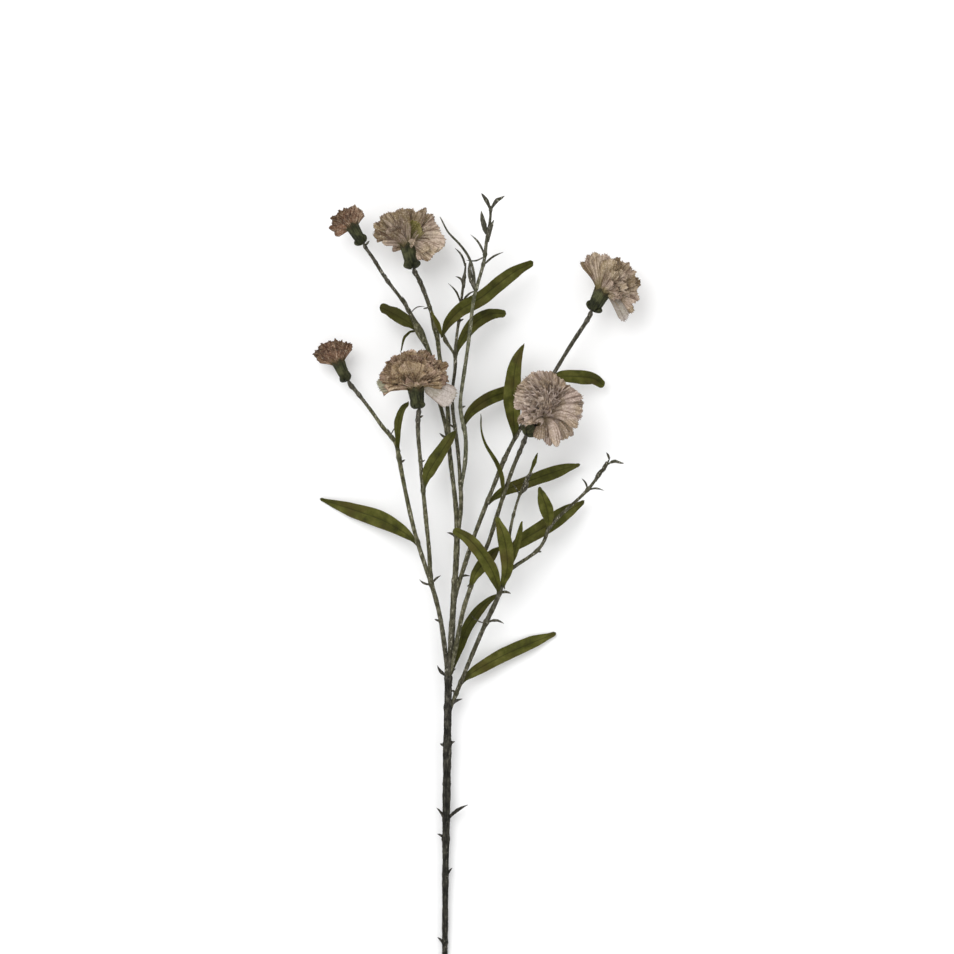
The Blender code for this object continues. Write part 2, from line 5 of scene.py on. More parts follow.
import bpy
import numpy as np
from mathutils import Euler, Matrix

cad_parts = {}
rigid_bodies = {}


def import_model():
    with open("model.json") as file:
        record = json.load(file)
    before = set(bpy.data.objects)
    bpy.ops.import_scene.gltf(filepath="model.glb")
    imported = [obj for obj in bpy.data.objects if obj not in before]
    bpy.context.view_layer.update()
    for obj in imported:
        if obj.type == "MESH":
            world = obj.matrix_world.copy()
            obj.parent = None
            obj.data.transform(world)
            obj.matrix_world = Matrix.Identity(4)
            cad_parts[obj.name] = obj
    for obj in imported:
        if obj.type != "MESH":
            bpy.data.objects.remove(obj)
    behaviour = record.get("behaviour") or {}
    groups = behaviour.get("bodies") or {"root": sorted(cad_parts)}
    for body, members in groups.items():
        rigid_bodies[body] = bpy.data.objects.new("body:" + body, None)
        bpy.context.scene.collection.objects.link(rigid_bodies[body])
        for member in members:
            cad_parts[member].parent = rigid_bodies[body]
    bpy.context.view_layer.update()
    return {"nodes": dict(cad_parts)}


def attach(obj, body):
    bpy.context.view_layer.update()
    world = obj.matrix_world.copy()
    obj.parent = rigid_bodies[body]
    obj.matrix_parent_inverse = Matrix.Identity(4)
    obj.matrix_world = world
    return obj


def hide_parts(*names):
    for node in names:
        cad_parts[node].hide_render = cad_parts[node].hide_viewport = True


for old in list(bpy.data.objects):
    bpy.data.objects.remove(old, do_unlink=True)
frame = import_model()


# ---------------- surface, light and camera
# The flower lies on a plain pale surface under a broad, soft studio light, and the camera
# hangs above it, looking straight down, with the blooms towards the top of the picture.
FLOOR_HALF = 3.0
FLOOR_DROP = 0.0003
VIEW_CENTRE = (0.0, 0.0826)
VIEW_HEIGHT = 2.521
LENS_MM = 135

floor_mesh = bpy.data.meshes.new("studio_floor")
floor_mesh.from_pydata(
    [(x * FLOOR_HALF, y * FLOOR_HALF, -FLOOR_DROP) for x, y in ((-1, -1), (1, -1), (1, 1), (-1, 1))],
    [], [(0, 1, 2, 3)])
floor = bpy.data.objects.new("studio_floor", floor_mesh)
link = bpy.context.scene.collection.objects.link
link(floor)
floor_paint = bpy.data.materials.new("studio_floor")
floor_paint.use_nodes = True
floor_shader = floor_paint.node_tree.nodes["Principled BSDF"]
floor_shader.inputs["Base Color"].default_value = (0.93, 0.93, 0.93, 1.0)
floor_shader.inputs["Roughness"].default_value = 0.95
floor_shader.inputs["Specular IOR Level"].default_value = 0.0
floor_mesh.materials.append(floor_paint)

sky = bpy.data.worlds.new("studio")
sky.use_nodes = True
sky.node_tree.nodes["Background"].inputs["Color"].default_value = (1.0, 1.0, 1.0, 1.0)
sky.node_tree.nodes["Background"].inputs["Strength"].default_value = 0.9
bpy.context.scene.world = sky
bpy.context.scene.view_settings.view_transform = "Standard"

# lamp, place and diameter in metres, power in watts
LAMPS = (("soft_key", (-1.0, 1.2, 2.4), 2.0, 34), ("soft_fill", (1.6, -0.6, 2.4), 2.4, 8))
for lamp_name, place, size, power in LAMPS:
    lamp_data = bpy.data.lights.new(lamp_name, "AREA")
    lamp_data.shape = "DISK"
    lamp_data.size = size
    lamp_data.energy = power
    lamp = bpy.data.objects.new(lamp_name, lamp_data)
    lamp.location = place
    aim = np.array((VIEW_CENTRE[0], VIEW_CENTRE[1], 0.0)) - np.array(place)
    tilt = math.atan2(math.hypot(aim[0], aim[1]), -aim[2])
    lamp.rotation_euler = Euler((tilt, 0, math.atan2(aim[1], aim[0]) - math.pi / 2))
    link(lamp)

camera_data = bpy.data.cameras.new("camera")
camera_data.lens = LENS_MM
camera_data.sensor_width = 36
camera = bpy.data.objects.new("camera", camera_data)
camera.location = (*VIEW_CENTRE, VIEW_HEIGHT)
link(camera)
bpy.context.scene.camera = camera


# ---------------- trunk and side stems
# Dry woody stems: each one leaves its parent at a knot, wanders a little and thins to its
# flower. The trunk's bark is dark and scaly, and the side stems are grey-green and speckled.
MM = 0.001
STEM_STEP = 0.8 * MM
STEM_SIDES = 14
SLICE_GAP = 4.0 * MM           # distance between the slices that find a stem's middle line
ROOT_DEPTH = 3.0 * MM          # how far a side stem starts inside its parent
END_SKIP = 0.05 * MM           # keeps the last slice inside the node
BASE_SKIP = 5.0 * MM           # the cut foot of a CAD stem, where a slice would be lopsided


def node_mesh(name):
    """Points (n, 3) in metres and edges (m, 2) of a CAD node."""
    mesh = frame["nodes"][name].data
    points = np.empty(len(mesh.vertices) * 3, np.float32)
    mesh.vertices.foreach_get("co", points)
    edges = np.empty(len(mesh.edges) * 2, np.int32)
    mesh.edges.foreach_get("vertices", edges)
    return points.reshape(-1, 3).astype(float), edges.reshape(-1, 2)


def slices(name, way, gap, skip_start, skip_end):
    """Middle line and half width of a CAD node, read by slicing it square to a direction.

    A slice is where a plane crosses the node's edges. Its middle is that of the crossing
    points' box, and its half width is measured level, square to the direction.
    """
    points, edges = node_mesh(name)
    way = np.asarray(way, float) / np.linalg.norm(way)
    level = np.cross(way, (0.0, 0.0, 1.0))
    level /= np.linalg.norm(level)
    along = points @ way
    first, last = along[edges[:, 0]], along[edges[:, 1]]
    low, high = along.min() + skip_start, along.max() - skip_end
    middles, halves = [], []
    for cut in np.linspace(low, high, max(4, int((high - low) / gap))):
        crossing = (first - cut) * (last - cut) < 0
        share = ((cut - first[crossing]) / (last[crossing] - first[crossing]))[:, None]
        start, end = edges[crossing].T
        outline = points[start] * (1 - share) + points[end] * share
        middles.append((outline.min(axis=0) + outline.max(axis=0)) / 2)
        halves.append(np.ptp(outline @ level) / 2)
    return np.array(middles), np.array(halves)


def even_line(points, values, step, rounds):
    """The same line in even steps, its corners softened by averaging each point with its
    neighbours a number of rounds; the two ends stay where they are."""
    travelled = np.concatenate(([0.0], np.cumsum(np.linalg.norm(np.diff(points, axis=0), axis=1))))
    spots = np.linspace(0.0, travelled[-1], max(5, int(travelled[-1] / step)))
    packed = np.column_stack([points, values])
    packed = np.stack([np.interp(spots, travelled, column) for column in packed.T], axis=1)
    for _ in range(rounds):
        packed[1:-1] = (packed[:-2] + 2 * packed[1:-1] + packed[2:]) / 4
    return packed[:, :3], packed[:, 3]


def unit(vectors):
    """Vectors scaled to length one along their last axis."""
    return vectors / np.maximum(np.linalg.norm(vectors, axis=-1, keepdims=True), 1e-12)


def rails(line):
    """Directions ahead along a line, level to its side, and up from it."""
    ahead = unit(np.gradient(line, axis=0))
    side = unit(np.cross(ahead, (0.0, 0.0, 1.0)))
    return ahead, side, np.cross(side, ahead)


def tube(line, radius):
    """A closed tube: rings square to the line, radius (rings, sides), and a fan at each end."""
    rings, sides = radius.shape
    _, side, upward = rails(line)
    turn = np.linspace(0, math.tau, sides, endpoint=False)
    spokes = side[:, None] * np.cos(turn)[:, None] + upward[:, None] * np.sin(turn)[:, None]
    points = (line[:, None] + spokes * radius[..., None]).reshape(-1, 3)
    points = np.vstack([points, line[0], line[-1]])
    here = np.arange(rings * sides).reshape(rings, sides)
    after = np.roll(here, -1, axis=1)
    quads = np.stack([here[:-1], here[1:], after[1:], after[:-1]], axis=-1).reshape(-1, 4)
    root, tip = rings * sides, rings * sides + 1
    foot = np.stack([np.full(sides, root), here[0], after[0]], axis=-1)
    head = np.stack([np.full(sides, tip), after[-1], here[-1]], axis=-1)
    uv = np.stack([np.tile(turn / math.tau, rings), np.repeat(np.linspace(0, 1, rings), sides)], axis=-1)
    uv = np.vstack([uv, (0.5, 0.0), (0.5, 1.0)])
    return points, quads.tolist() + foot.tolist() + head.tolist(), uv


def new_piece(name, shell, tint, finish, replaced):
    """Make a shell (points, faces, uv) an object with a tint, hang it on the root and hide what it replaces.
    """
    points, faces, uv = shell
    mesh = bpy.data.meshes.new(name)
    mesh.from_pydata(points.tolist(), [], faces)
    corners = np.empty(len(mesh.loops), np.int32)
    mesh.loops.foreach_get("vertex_index", corners)
    mesh.uv_layers.new(name="UVMap").data.foreach_set("uv", uv[corners].astype(np.float32).ravel())
    shade = mesh.attributes.new("tint", "FLOAT", "POINT")
    shade.data.foreach_set("value", np.broadcast_to(tint, len(points)).astype(np.float32))
    mesh.shade_smooth()
    mesh.materials.append(finish)
    piece = bpy.data.objects.new(name, mesh)
    link(piece)
    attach(piece, "root")
    if replaced:
        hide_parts(*replaced)
    return piece


def put(tree, kind, feeds=None, **settings):
    """Add a shader node of a kind. feeds gives an input a fixed value or the socket that drives it."""
    made = tree.nodes.new("ShaderNode" + kind)
    for key, value in settings.items():
        setattr(made, key, value)
    for key, value in (feeds or {}).items():
        if isinstance(value, bpy.types.NodeSocket):
            tree.links.new(value, made.inputs[key])
        else:
            made.inputs[key].default_value = value
    return made


def ramp(tree, driver, stops):
    """A colour ramp driven by a socket; stops are (position, (r, g, b))."""
    made = put(tree, "ValToRGB", {"Fac": driver})
    while len(made.color_ramp.elements) < len(stops):
        made.color_ramp.elements.new(0.5)
    for element, (position, colour) in zip(made.color_ramp.elements, stops):
        element.position = position
        element.color = (*colour, 1.0)
    return made.outputs["Color"]


def mixed(tree, share, first, second, blend="MIX"):
    """Colour mix of two sockets or colours."""
    made = put(tree, "Mix", data_type="RGBA", blend_type=blend)
    for index, value in ((0, share), (6, first), (7, second)):
        if isinstance(value, bpy.types.NodeSocket):
            tree.links.new(value, made.inputs[index])
        elif index == 0:
            made.inputs[index].default_value = value
        else:
            made.inputs[index].default_value = (*value, 1.0)
    return made.outputs[2]


def bumped(tree, height, strength, distance):
    """Normal from a height socket."""
    feeds = {"Height": height, "Strength": strength, "Distance": distance}
    return put(tree, "Bump", feeds).outputs[0]


def noise(tree, where, scale, detail=4.0, roughness=0.6):
    """Noise value over the given coordinates."""
    return put(tree, "TexNoise", {"Vector": where, "Scale": scale, "Detail": detail,
                                            "Roughness": roughness}).outputs["Fac"]


def new_finish(name, specular):
    """A material with its node tree, its shader and a coordinate node."""
    made = bpy.data.materials.new(name)
    made.use_nodes = True
    skin = made.node_tree.nodes["Principled BSDF"]
    skin.inputs["Specular IOR Level"].default_value = specular
    return made, made.node_tree, skin, put(made.node_tree, "TexCoord").outputs


def stretched(tree, where, scale):
    """Coordinates scaled along each axis."""
    return put(tree, "Mapping", {"Vector": where, "Scale": scale}).outputs[0]


def tint_of(tree):
    """The piece's own tint, stored on its points."""
    return put(tree, "Attribute", attribute_name="tint").outputs["Fac"]


def greys(tree, driver, *stops):
    """A ramp of greys; stops are (position, grey)."""
    return ramp(tree, driver, [(position, (grey,) * 3) for position, grey in stops])


def laid(tree, base, colour, driver, *stops):
    """A colour laid over a base as thickly as the driver's ramp of greys says."""
    return mixed(tree, greys(tree, driver, *stops), base, colour)


def surfaced(tree, skin, colour, gloss, rough, relief, strength, distance):
    """Join colour, roughness (a ramp of its driver from 0.3 to 0.7) and relief to the shader."""
    tree.links.new(colour, skin.inputs["Base Color"])
    tree.links.new(greys(tree, gloss, (0.3, rough[0]), (0.7, rough[1])), skin.inputs["Roughness"])
    tree.links.new(bumped(tree, relief, strength, distance), skin.inputs["Normal"])


def stem_material(name, deep, middle, pale, fleck, fleck_share):
    """Dry stem: long fibres and blotches over the skin, pale corky flecks and a scaly bump.
    The tint runs from the fresh skin at 0 to dead, grey-black skin at 1."""
    made, tree, skin, where = new_finish(name, 0.18)
    drawn_out = stretched(tree, where["Object"], (1.0, 0.3, 1.0))
    fibres = noise(tree, drawn_out, 760.0, 5.0, 0.65)
    blotches = noise(tree, where["Object"], 210.0, 3.0)
    fresh = ramp(tree, fibres, ((0.34, deep), (0.5, middle), (0.66, pale)))
    dry = ramp(tree, fibres, ((0.34, (0.014, 0.012, 0.009)), (0.52, (0.058, 0.052, 0.041)),
                              (0.7, (0.16, 0.148, 0.122))))
    body = mixed(tree, tint_of(tree), fresh, dry)
    shaded = laid(tree, body, mixed(tree, 0.62, body, deep), blotches, (0.44, 0), (0.58, 1))
    flecks = noise(tree, drawn_out, 1100.0, 2.0, 0.5)
    coloured = laid(tree, shaded, fleck, flecks, (1.0 - fleck_share, 0), (1.05 - fleck_share, 1))
    surfaced(tree, skin, coloured, blotches, (0.66, 0.9), fibres, 0.7, 0.0008)
    return made


bark = stem_material("trunk_bark", (0.004, 0.004, 0.003), (0.019, 0.018, 0.012), (0.07, 0.066, 0.05),
                     (0.17, 0.16, 0.13), 0.32)
green_skin = stem_material("side_stem_skin", (0.028, 0.026, 0.012), (0.112, 0.108, 0.052),
                           (0.225, 0.215, 0.135), (0.36, 0.34, 0.27), 0.36)
sprig_skin = stem_material("sprig_skin", (0.04, 0.041, 0.022), (0.145, 0.146, 0.086), (0.27, 0.266, 0.18),
                           (0.4, 0.38, 0.31), 0.36)

# stem, skin, slot, knots: (height along Y in mm, swelling in mm, length in mm),
# deadness along it: (height along Y in mm, 0 fresh to 1 grey-black)
STEMS = (
    ("main_stem", bark, "stem_dark", ((-245, 0.7, 3), (-197, 0.5, 3), (-172, 0.8, 4), (-158, 0.9, 4),
     (-133, 0.5, 3), (-105, 1.0, 4), (-79, 0.8, 4), (-57, 1.1, 5)),
     ((-280, 0.15), (-180, 0.1), (-90, 0.4), (-50, 0.55))),
    ("middle_stem", green_skin, "stem_green", ((-52, 0.5, 4), (10, 0.8, 4), (42, 0.9, 4), (111, 0.8, 4),
     (188, 1.7, 14), (201, 0.6, 3), (213, 0.5, 3), (219, 0.7, 3), (225.5, 0.9, 3)),
     ((-55, 0.95), (-20, 0.6), (40, 0.25), (150, 0.25), (180, 0.0), (196, 0.3), (210, 0.85), (230, 0.95))),
    ("left_bud_stem", green_skin, "stem_green", ((-18, 0.5, 3), (8, 0.9, 4), (37, 0.8, 4), (96, 1.0, 5),
     (110, 0.6, 4), (140, 0.7, 3), (146, 0.7, 3)),
     ((-60, 0.95), (-30, 0.7), (20, 0.35), (88, 0.0), (112, 0.0), (128, 0.25), (138, 0.8), (152, 0.95))),
    ("left_bloom_stem", green_skin, "stem_green", ((14, 0.4, 3), (73, 0.7, 4), (94, 0.4, 3), (122, 0.8, 3),
     (128, 0.9, 3)),
     ((-20, 0.4), (60, 0.25), (108, 0.5), (122, 0.9), (130, 0.95))),
    ("top_bud_stem", green_skin, "stem_green", ((115, 0.4, 3), (184, 3.0, 18), (199, 0.8, 4), (219, 0.8, 3),
     (232, 0.4, 3), (243, 0.7, 3)),
     ((100, 0.5), (165, 0.1), (188, 0.1), (198, 0.7), (215, 0.9), (247, 0.95))),
    ("short_sprig_stem", green_skin, "sprig_stem", ((80, 0.5, 4), (117, 0.5, 4), (168, 0.9, 4), (191, 0.6, 2),
     (204, 0.9, 3), (217, 0.6, 2)),
     ((60, 0.35), (100, 0.6), (150, 0.85), (175, 0.6), (200, 0.6), (214, 0.8), (235, 0.95))),
    ("short_sprig_arm", green_skin, "sprig_stem", ((180, 0.4, 3),), ((160, 0.5), (195, 0.3))),
    ("tall_sprig_stem", sprig_skin, "sprig_stem", ((117, 0.8, 4), (131, 0.5, 3), (213, 0.5, 3), (230, 0.8, 3),
     (237, 0.8, 3), (254, 1.0, 3), (268, 0.8, 3)),
     ((60, 0.3), (120, 0.15), (200, 0.15), (222, 0.45), (240, 0.75), (275, 0.95))),
    ("right_bloom_stem", green_skin, "stem_green", ((22, 0.4, 3), (66, 0.7, 4), (95, 0.9, 3), (111, 0.6, 4),
     (152, 0.4, 4), (192, 0.7, 3), (196.5, 0.9, 3)),
     ((-20, 0.3), (50, 0.35), (95, 0.6), (120, 0.7), (160, 0.85), (202, 0.95))),
    ("centre_bloom_stem", green_skin, "stem_green", ((6, 0.6, 4), (69, 0.6, 4), (100, 0.7, 3), (107, 0.9, 3)),
     ((-30, 0.35), (50, 0.35), (88, 0.5), (102, 0.9), (115, 0.95))),
    ("lower_right_stem", green_skin, "sprig_stem", ((-69, 0.7, 3), (-61, 0.7, 4), (-19, 1.1, 4), (2, 1.0, 4),
     (14, 0.8, 4), (31, 0.7, 3), (48, 0.7, 3), (74, 0.9, 3), (84, 0.9, 5), (91, 0.9, 3)),
     ((-80, 0.5), (-40, 0.7), (0, 0.75), (25, 0.35), (45, 0.75), (60, 0.5), (80, 0.6), (95, 0.6))),
    ("lower_right_twig", green_skin, "stem_green", ((30, 0.6, 3), (56, 0.7, 3), (71, 0.7, 2), (82, 1.4, 4)),
     ((20, 0.4), (56, 0.45), (72, 0.5), (82, 0.75), (90, 0.3))),
)

stem_lines = {}
for number, (stem, skin, slot_name, knots, deadness) in enumerate(STEMS):
    rng = np.random.default_rng(100 + number)
    short = stem == "short_sprig_arm"
    foot_skip = END_SKIP if stem == "main_stem" else (2.0 * MM if short else BASE_SKIP)
    middles, halves = slices(stem, (0, 1, 0), 2.0 * MM if short else SLICE_GAP, foot_skip, END_SKIP)
    ahead = unit(np.gradient(middles, axis=0))
    halves = halves * np.hypot(ahead[:, 1], ahead[:, 2])
    if stem != "main_stem":
        middles = np.vstack([middles[0] - ahead[0] * (foot_skip + ROOT_DEPTH), middles])
        halves = np.concatenate([halves[:1], halves])
    if short:
        middles = np.vstack([middles, middles[-1] + ahead[-1] * 2.6 * MM])
        halves = np.concatenate([halves, halves[-1:] * 0.8])
    line, half = even_line(middles, halves, STEM_STEP, 4 if short else 14)
    stem_lines[stem] = (line, half)
    turn = np.linspace(0, math.tau, STEM_SIDES, endpoint=False)
    reach = np.linspace(0, 1, len(line))[:, None]
    swell = sum(size * MM * 0.55 * np.exp(-((line[:, 1] - place * MM) / (length * MM * 0.42)) ** 2)
                for place, size, length in knots)
    # a few long ridges that drift round the stem, a scaly skin, and a slow wander in thickness
    ridges = 0.05 * np.cos(5 * turn + 7 * reach) + 0.03 * np.cos(3 * turn - 11 * reach + 1.0)
    scales = rng.normal(0, 0.022, (len(line), STEM_SIDES))
    wander = 0.05 * np.sin(line[:, 1] * 210 + number) + 0.03 * np.sin(line[:, 1] * 610 + 2 * number)
    radius = half[:, None] * (1 + ridges + scales + wander[:, None]) + swell[:, None]
    if stem == "main_stem":
        # the trunk's top closes over the feet of the side stems
        to_top = np.clip((line[-1, 1] - line[:, 1]) / (7 * MM), 0, 1)
        radius *= 0.45 + 0.55 * np.sqrt(1 - (1 - to_top[:, None]) ** 2)
    shell = tube(line, radius)
    dead = np.interp(shell[0][:, 1] / MM, *np.array(deadness).T)
    new_piece("fine_" + stem, shell, dead, skin, (stem,))


# ---------------- bract stubs and twigs
# Small dry bracts and spur twigs sit in pairs at the knots: a stiff sliver a few
# millimetres long that leaves the stem at a narrow angle and bends out at its tip.
STUB_SIDES = 6
STUB_STEPS = 14
# by stem: height along Y, sideways run, forward run, radius at the foot, curl (all in mm)
STUBS = {
    "main_stem": (
        (-78.4, 9, 5.2, 1, 1), (-157.5, 14, 10, 1.1, 1.2), (-158.5, -5.5, 8.6, 0.9, -0.8),
        (-171, -5, 3, 0.8, -0.4), (-197.4, 3.6, 5.6, 0.7, 0.4), (-246, -4.2, 4.6, 0.8, -0.5),
        (-56.5, -6.4, 7.2, 1, 1), (-55, 4.6, 3.4, 0.9, 0.3), (-104.5, 4, 1.6, 0.9, 0),
        (-106, -3.6, 1.6, 0.9, 0),
    ),
    "left_bud_stem": (
        (-18.2, -3.6, 1.6, 0.7, 0), (7.6, -7.7, 3.6, 0.7, 1), (8.4, 6, 5.6, 0.7, 0.8),
        (109.6, -3, 7, 0.6, -0.4), (112, 4.2, 6.6, 0.35, 0.3), (93, 3, 2, 0.7, 0),
    ),
    "left_bloom_stem": (
        (124, 2.8, 1.6, 0.7, 0), (93, 2.6, 1.4, 0.5, 0),
    ),
    "middle_stem": (
        (10.5, 9.8, 2.8, 0.8, 1.6), (39.8, -6.2, 3.4, 0.8, -1), (109.6, -5.6, 3.6, 0.8, 0.4),
        (200.9, -4, -1, 0.5, 0),
    ),
    "top_bud_stem": (
        (196.7, 10, 4.4, 0.35, 2), (198, -4.4, 11, 0.8, -0.6), (219, -1, 5, 0.8, 0),
        (243.5, 3, 3.4, 0.7, 0),
    ),
    "short_sprig_stem": (
        (204.2, -8.6, 13.6, 0.6, -1.6), (203.6, 10.8, 9, 0.6, 1.5), (216.4, -5, 5.6, 0.7, -1.6),
        (229, -7, 12.6, 0.7, -1.5), (191, 3, 1.6, 0.6, 0), (117, -3.4, 2.6, 0.6, 0),
        (214, 1.4, 13.5, 1.2, 0.3),
    ),
    "tall_sprig_stem": (
        (229.6, 13.4, 8.6, 0.7, 1.2), (236.6, -9.4, 13.8, 0.7, -1.4), (235.4, -12.2, -2.4, 0.5, 1.6),
        (250.8, -4, 16, 1.6, 0.6), (246, 4.6, 15, 1.6, 0.8), (131, 2.8, 1.4, 0.6, 0),
        (213, -4, 19, 1.6, 1.2),
    ),
    "lower_right_stem": (
        (-68.6, -3.2, 1.6, 0.7, 0), (-18.9, 11.6, -1, 0.8, 1.8), (-19.4, -10, 6.4, 0.4, 1.2),
        (1.6, 7, -0.6, 0.9, 1), (30.8, 2.8, -0.6, 0.7, 0), (74.2, -4, 7.6, 0.6, -1),
        (73.6, 11.2, -0.4, 0.6, 1.4), (95, -2, 4.8, 0.7, -0.4), (80, 6, 9.5, 1.3, 0.6),
        (86, 3, 7.5, 1.3, -0.6),
    ),
    "lower_right_twig": (
        (80.5, -2.6, -9.6, 1.7, 0.8), (70.7, -5, 7.8, 0.4, -0.6), (82, 3.2, 3.4, 0.8, 0.3),
    ),
}


def stub_line(stem, height, across, ahead, curl):
    """Middle line of a bract stub: it starts on its stem and bows sideways by the curl."""
    line, half = stem_lines[stem]
    nearest = np.argmin(np.abs(line[:, 1] - height * MM))
    share = np.linspace(0, 1, STUB_STEPS)[:, None]
    run = np.array((across, ahead, 0.0)) * MM
    side = unit(np.array((-run[1], run[0], 0.0)))
    lift = np.array((0.0, 0.0, 0.12 * np.linalg.norm(run)))
    bow = curl * MM * np.sin(math.pi * share) * side
    skin_start = line[nearest] + np.array((np.sign(across) * half[nearest] * 0.5, 0.0, 0.0))
    return skin_start + run * share + bow + lift * share


def gathered(parts):
    """Join several (points, faces, uv) into one set of arrays."""
    points, faces, uvs, start = [], [], [], 0
    for part_points, part_faces, part_uv in parts:
        points.append(part_points)
        uvs.append(part_uv)
        faces += [[corner + start for corner in face] for face in part_faces]
        start += len(part_points)
    return np.vstack(points), faces, np.vstack(uvs)


for stem, skin, *_ in STEMS:
    rng = np.random.default_rng(300 + len(stem))
    parts = []
    for height, across, ahead, foot, curl in STUBS.get(stem, ()):
        share = np.linspace(0, 1, STUB_STEPS)[:, None]
        taper = foot * MM * (0.78 + 0.42 * np.sin(math.pi * share)) * (1 - 0.85 * share ** 4)
        radius = taper * (1 + rng.normal(0, 0.06, (STUB_STEPS, STUB_SIDES)))
        parts.append(tube(stub_line(stem, height, across, ahead, curl), radius))
    if parts:
        new_piece("bracts_" + stem, gathered(parts), 0.85, skin, ())


# ---------------- leaves
# Narrow dry leaves clasp the stem at a knot: a shallow channel along the midrib, a soft
# wave along each edge, and a slow twist to a pointed or snapped tip. Olive, darker at the foot.
LEAF_ROWS = 56
LEAF_COLUMNS = 13
LEAF_THICKNESS = 0.34 * MM
TIP_ROUNDING = 2.2 * MM


def clear_of_floor(points, ease):
    """Ease points up so that none goes through the floor: below the ease height the
    height runs out exponentially towards zero, so nothing crosses and nothing folds."""
    eased = points.copy()
    low = eased[..., 2] < ease
    eased[..., 2] = np.where(low, ease * np.exp(np.minimum(eased[..., 2] - ease, 0) / ease), eased[..., 2])
    return eased


def grid_uv(rows, columns):
    """UV for the two skins of a grid: across it in X and along it in Y."""
    across, along = np.meshgrid(np.linspace(0, 1, columns), np.linspace(0, 1, rows))
    return np.tile(np.stack([across.ravel(), along.ravel()], axis=-1), (2, 1))


def sheet_shell(grid, thickness):
    """A thin closed sheet: the grid pushed half a thickness to each side along its
    normals, and the two skins joined round the edge. The uv runs across and along."""
    rows, columns = grid.shape[:2]
    normal = unit(np.cross(np.gradient(grid, axis=0), np.gradient(grid, axis=1)))
    offset = normal * (np.asarray(thickness) / 2)
    points = np.concatenate([(grid + offset).reshape(-1, 3), (grid - offset).reshape(-1, 3)])
    index = np.arange(rows * columns).reshape(rows, columns)
    upper = np.stack([index[:-1, :-1], index[1:, :-1], index[1:, 1:], index[:-1, 1:]], axis=-1).reshape(-1, 4)
    lower = upper[:, ::-1] + rows * columns
    edge = np.concatenate([index[0, :-1], index[:-1, -1], index[-1, :0:-1], index[:0:-1, 0]])
    onward = np.roll(edge, -1)
    rim = np.stack([edge, onward, onward + rows * columns, edge + rows * columns], axis=-1)
    return points, np.concatenate([upper, lower, rim]).tolist(), grid_uv(rows, columns)


def joined(tree, kind, first, second):
    """Maths on two sockets or numbers."""
    return put(tree, "Math", {0: first, 1: second}, operation=kind).outputs[0]


def leaf_material():
    """Dry leaf: olive blade with a dark midrib, fine veins along it, pale scuffs and brown rims."""
    made, tree, skin, where = new_finish("dry_leaf", 0.12)
    split = put(tree, "SeparateXYZ", {"Vector": where["UV"]}).outputs
    patches = noise(tree, where["Object"], 120.0)
    body = ramp(tree, patches, ((0.3, (0.03, 0.03, 0.003)), (0.48, (0.068, 0.071, 0.009)),
                                (0.68, (0.128, 0.127, 0.028))))
    withered = noise(tree, where["Object"], 48.0, 3.0, 0.55)
    body = laid(tree, body, (0.07, 0.05, 0.012), withered, (0.5, 0), (0.64, 0.6))
    body = mixed(tree, tint_of(tree), mixed(tree, 0.65, body, (0.024, 0.024, 0.003)), body)
    feeds = {"Vector": where["UV"], "Scale": 4.6, "Distortion": 0.6, "Detail": 2.0, "Detail Scale": 2.0}
    veins = put(tree, "TexWave", feeds, bands_direction="X").outputs["Fac"]
    body = laid(tree, body, (0.02, 0.022, 0.003), veins, (0.2, 0.16), (0.8, 0))
    centre = joined(tree, "ABSOLUTE", joined(tree, "SUBTRACT", split["X"], 0.5), 0.0)
    body = laid(tree, body, (0.022, 0.022, 0.004), centre, (0.016, 0.55), (0.055, 0))
    body = laid(tree, body, (0.11, 0.092, 0.024), centre, (0.455, 0), (0.497, 0.55))
    body = laid(tree, body, (0.022, 0.023, 0.008), split["Y"], (0.0, 0.75), (0.16, 0))
    scuffs = noise(tree, where["Object"], 900.0, 3.0, 0.7)
    body = laid(tree, body, (0.17, 0.16, 0.07), scuffs, (0.6, 0), (0.78, 0.22))
    surfaced(tree, skin, body, patches, (0.48, 0.7), joined(tree, "ADD", veins, scuffs), 0.35, 0.0004)
    return made


dry_leaf = leaf_material()

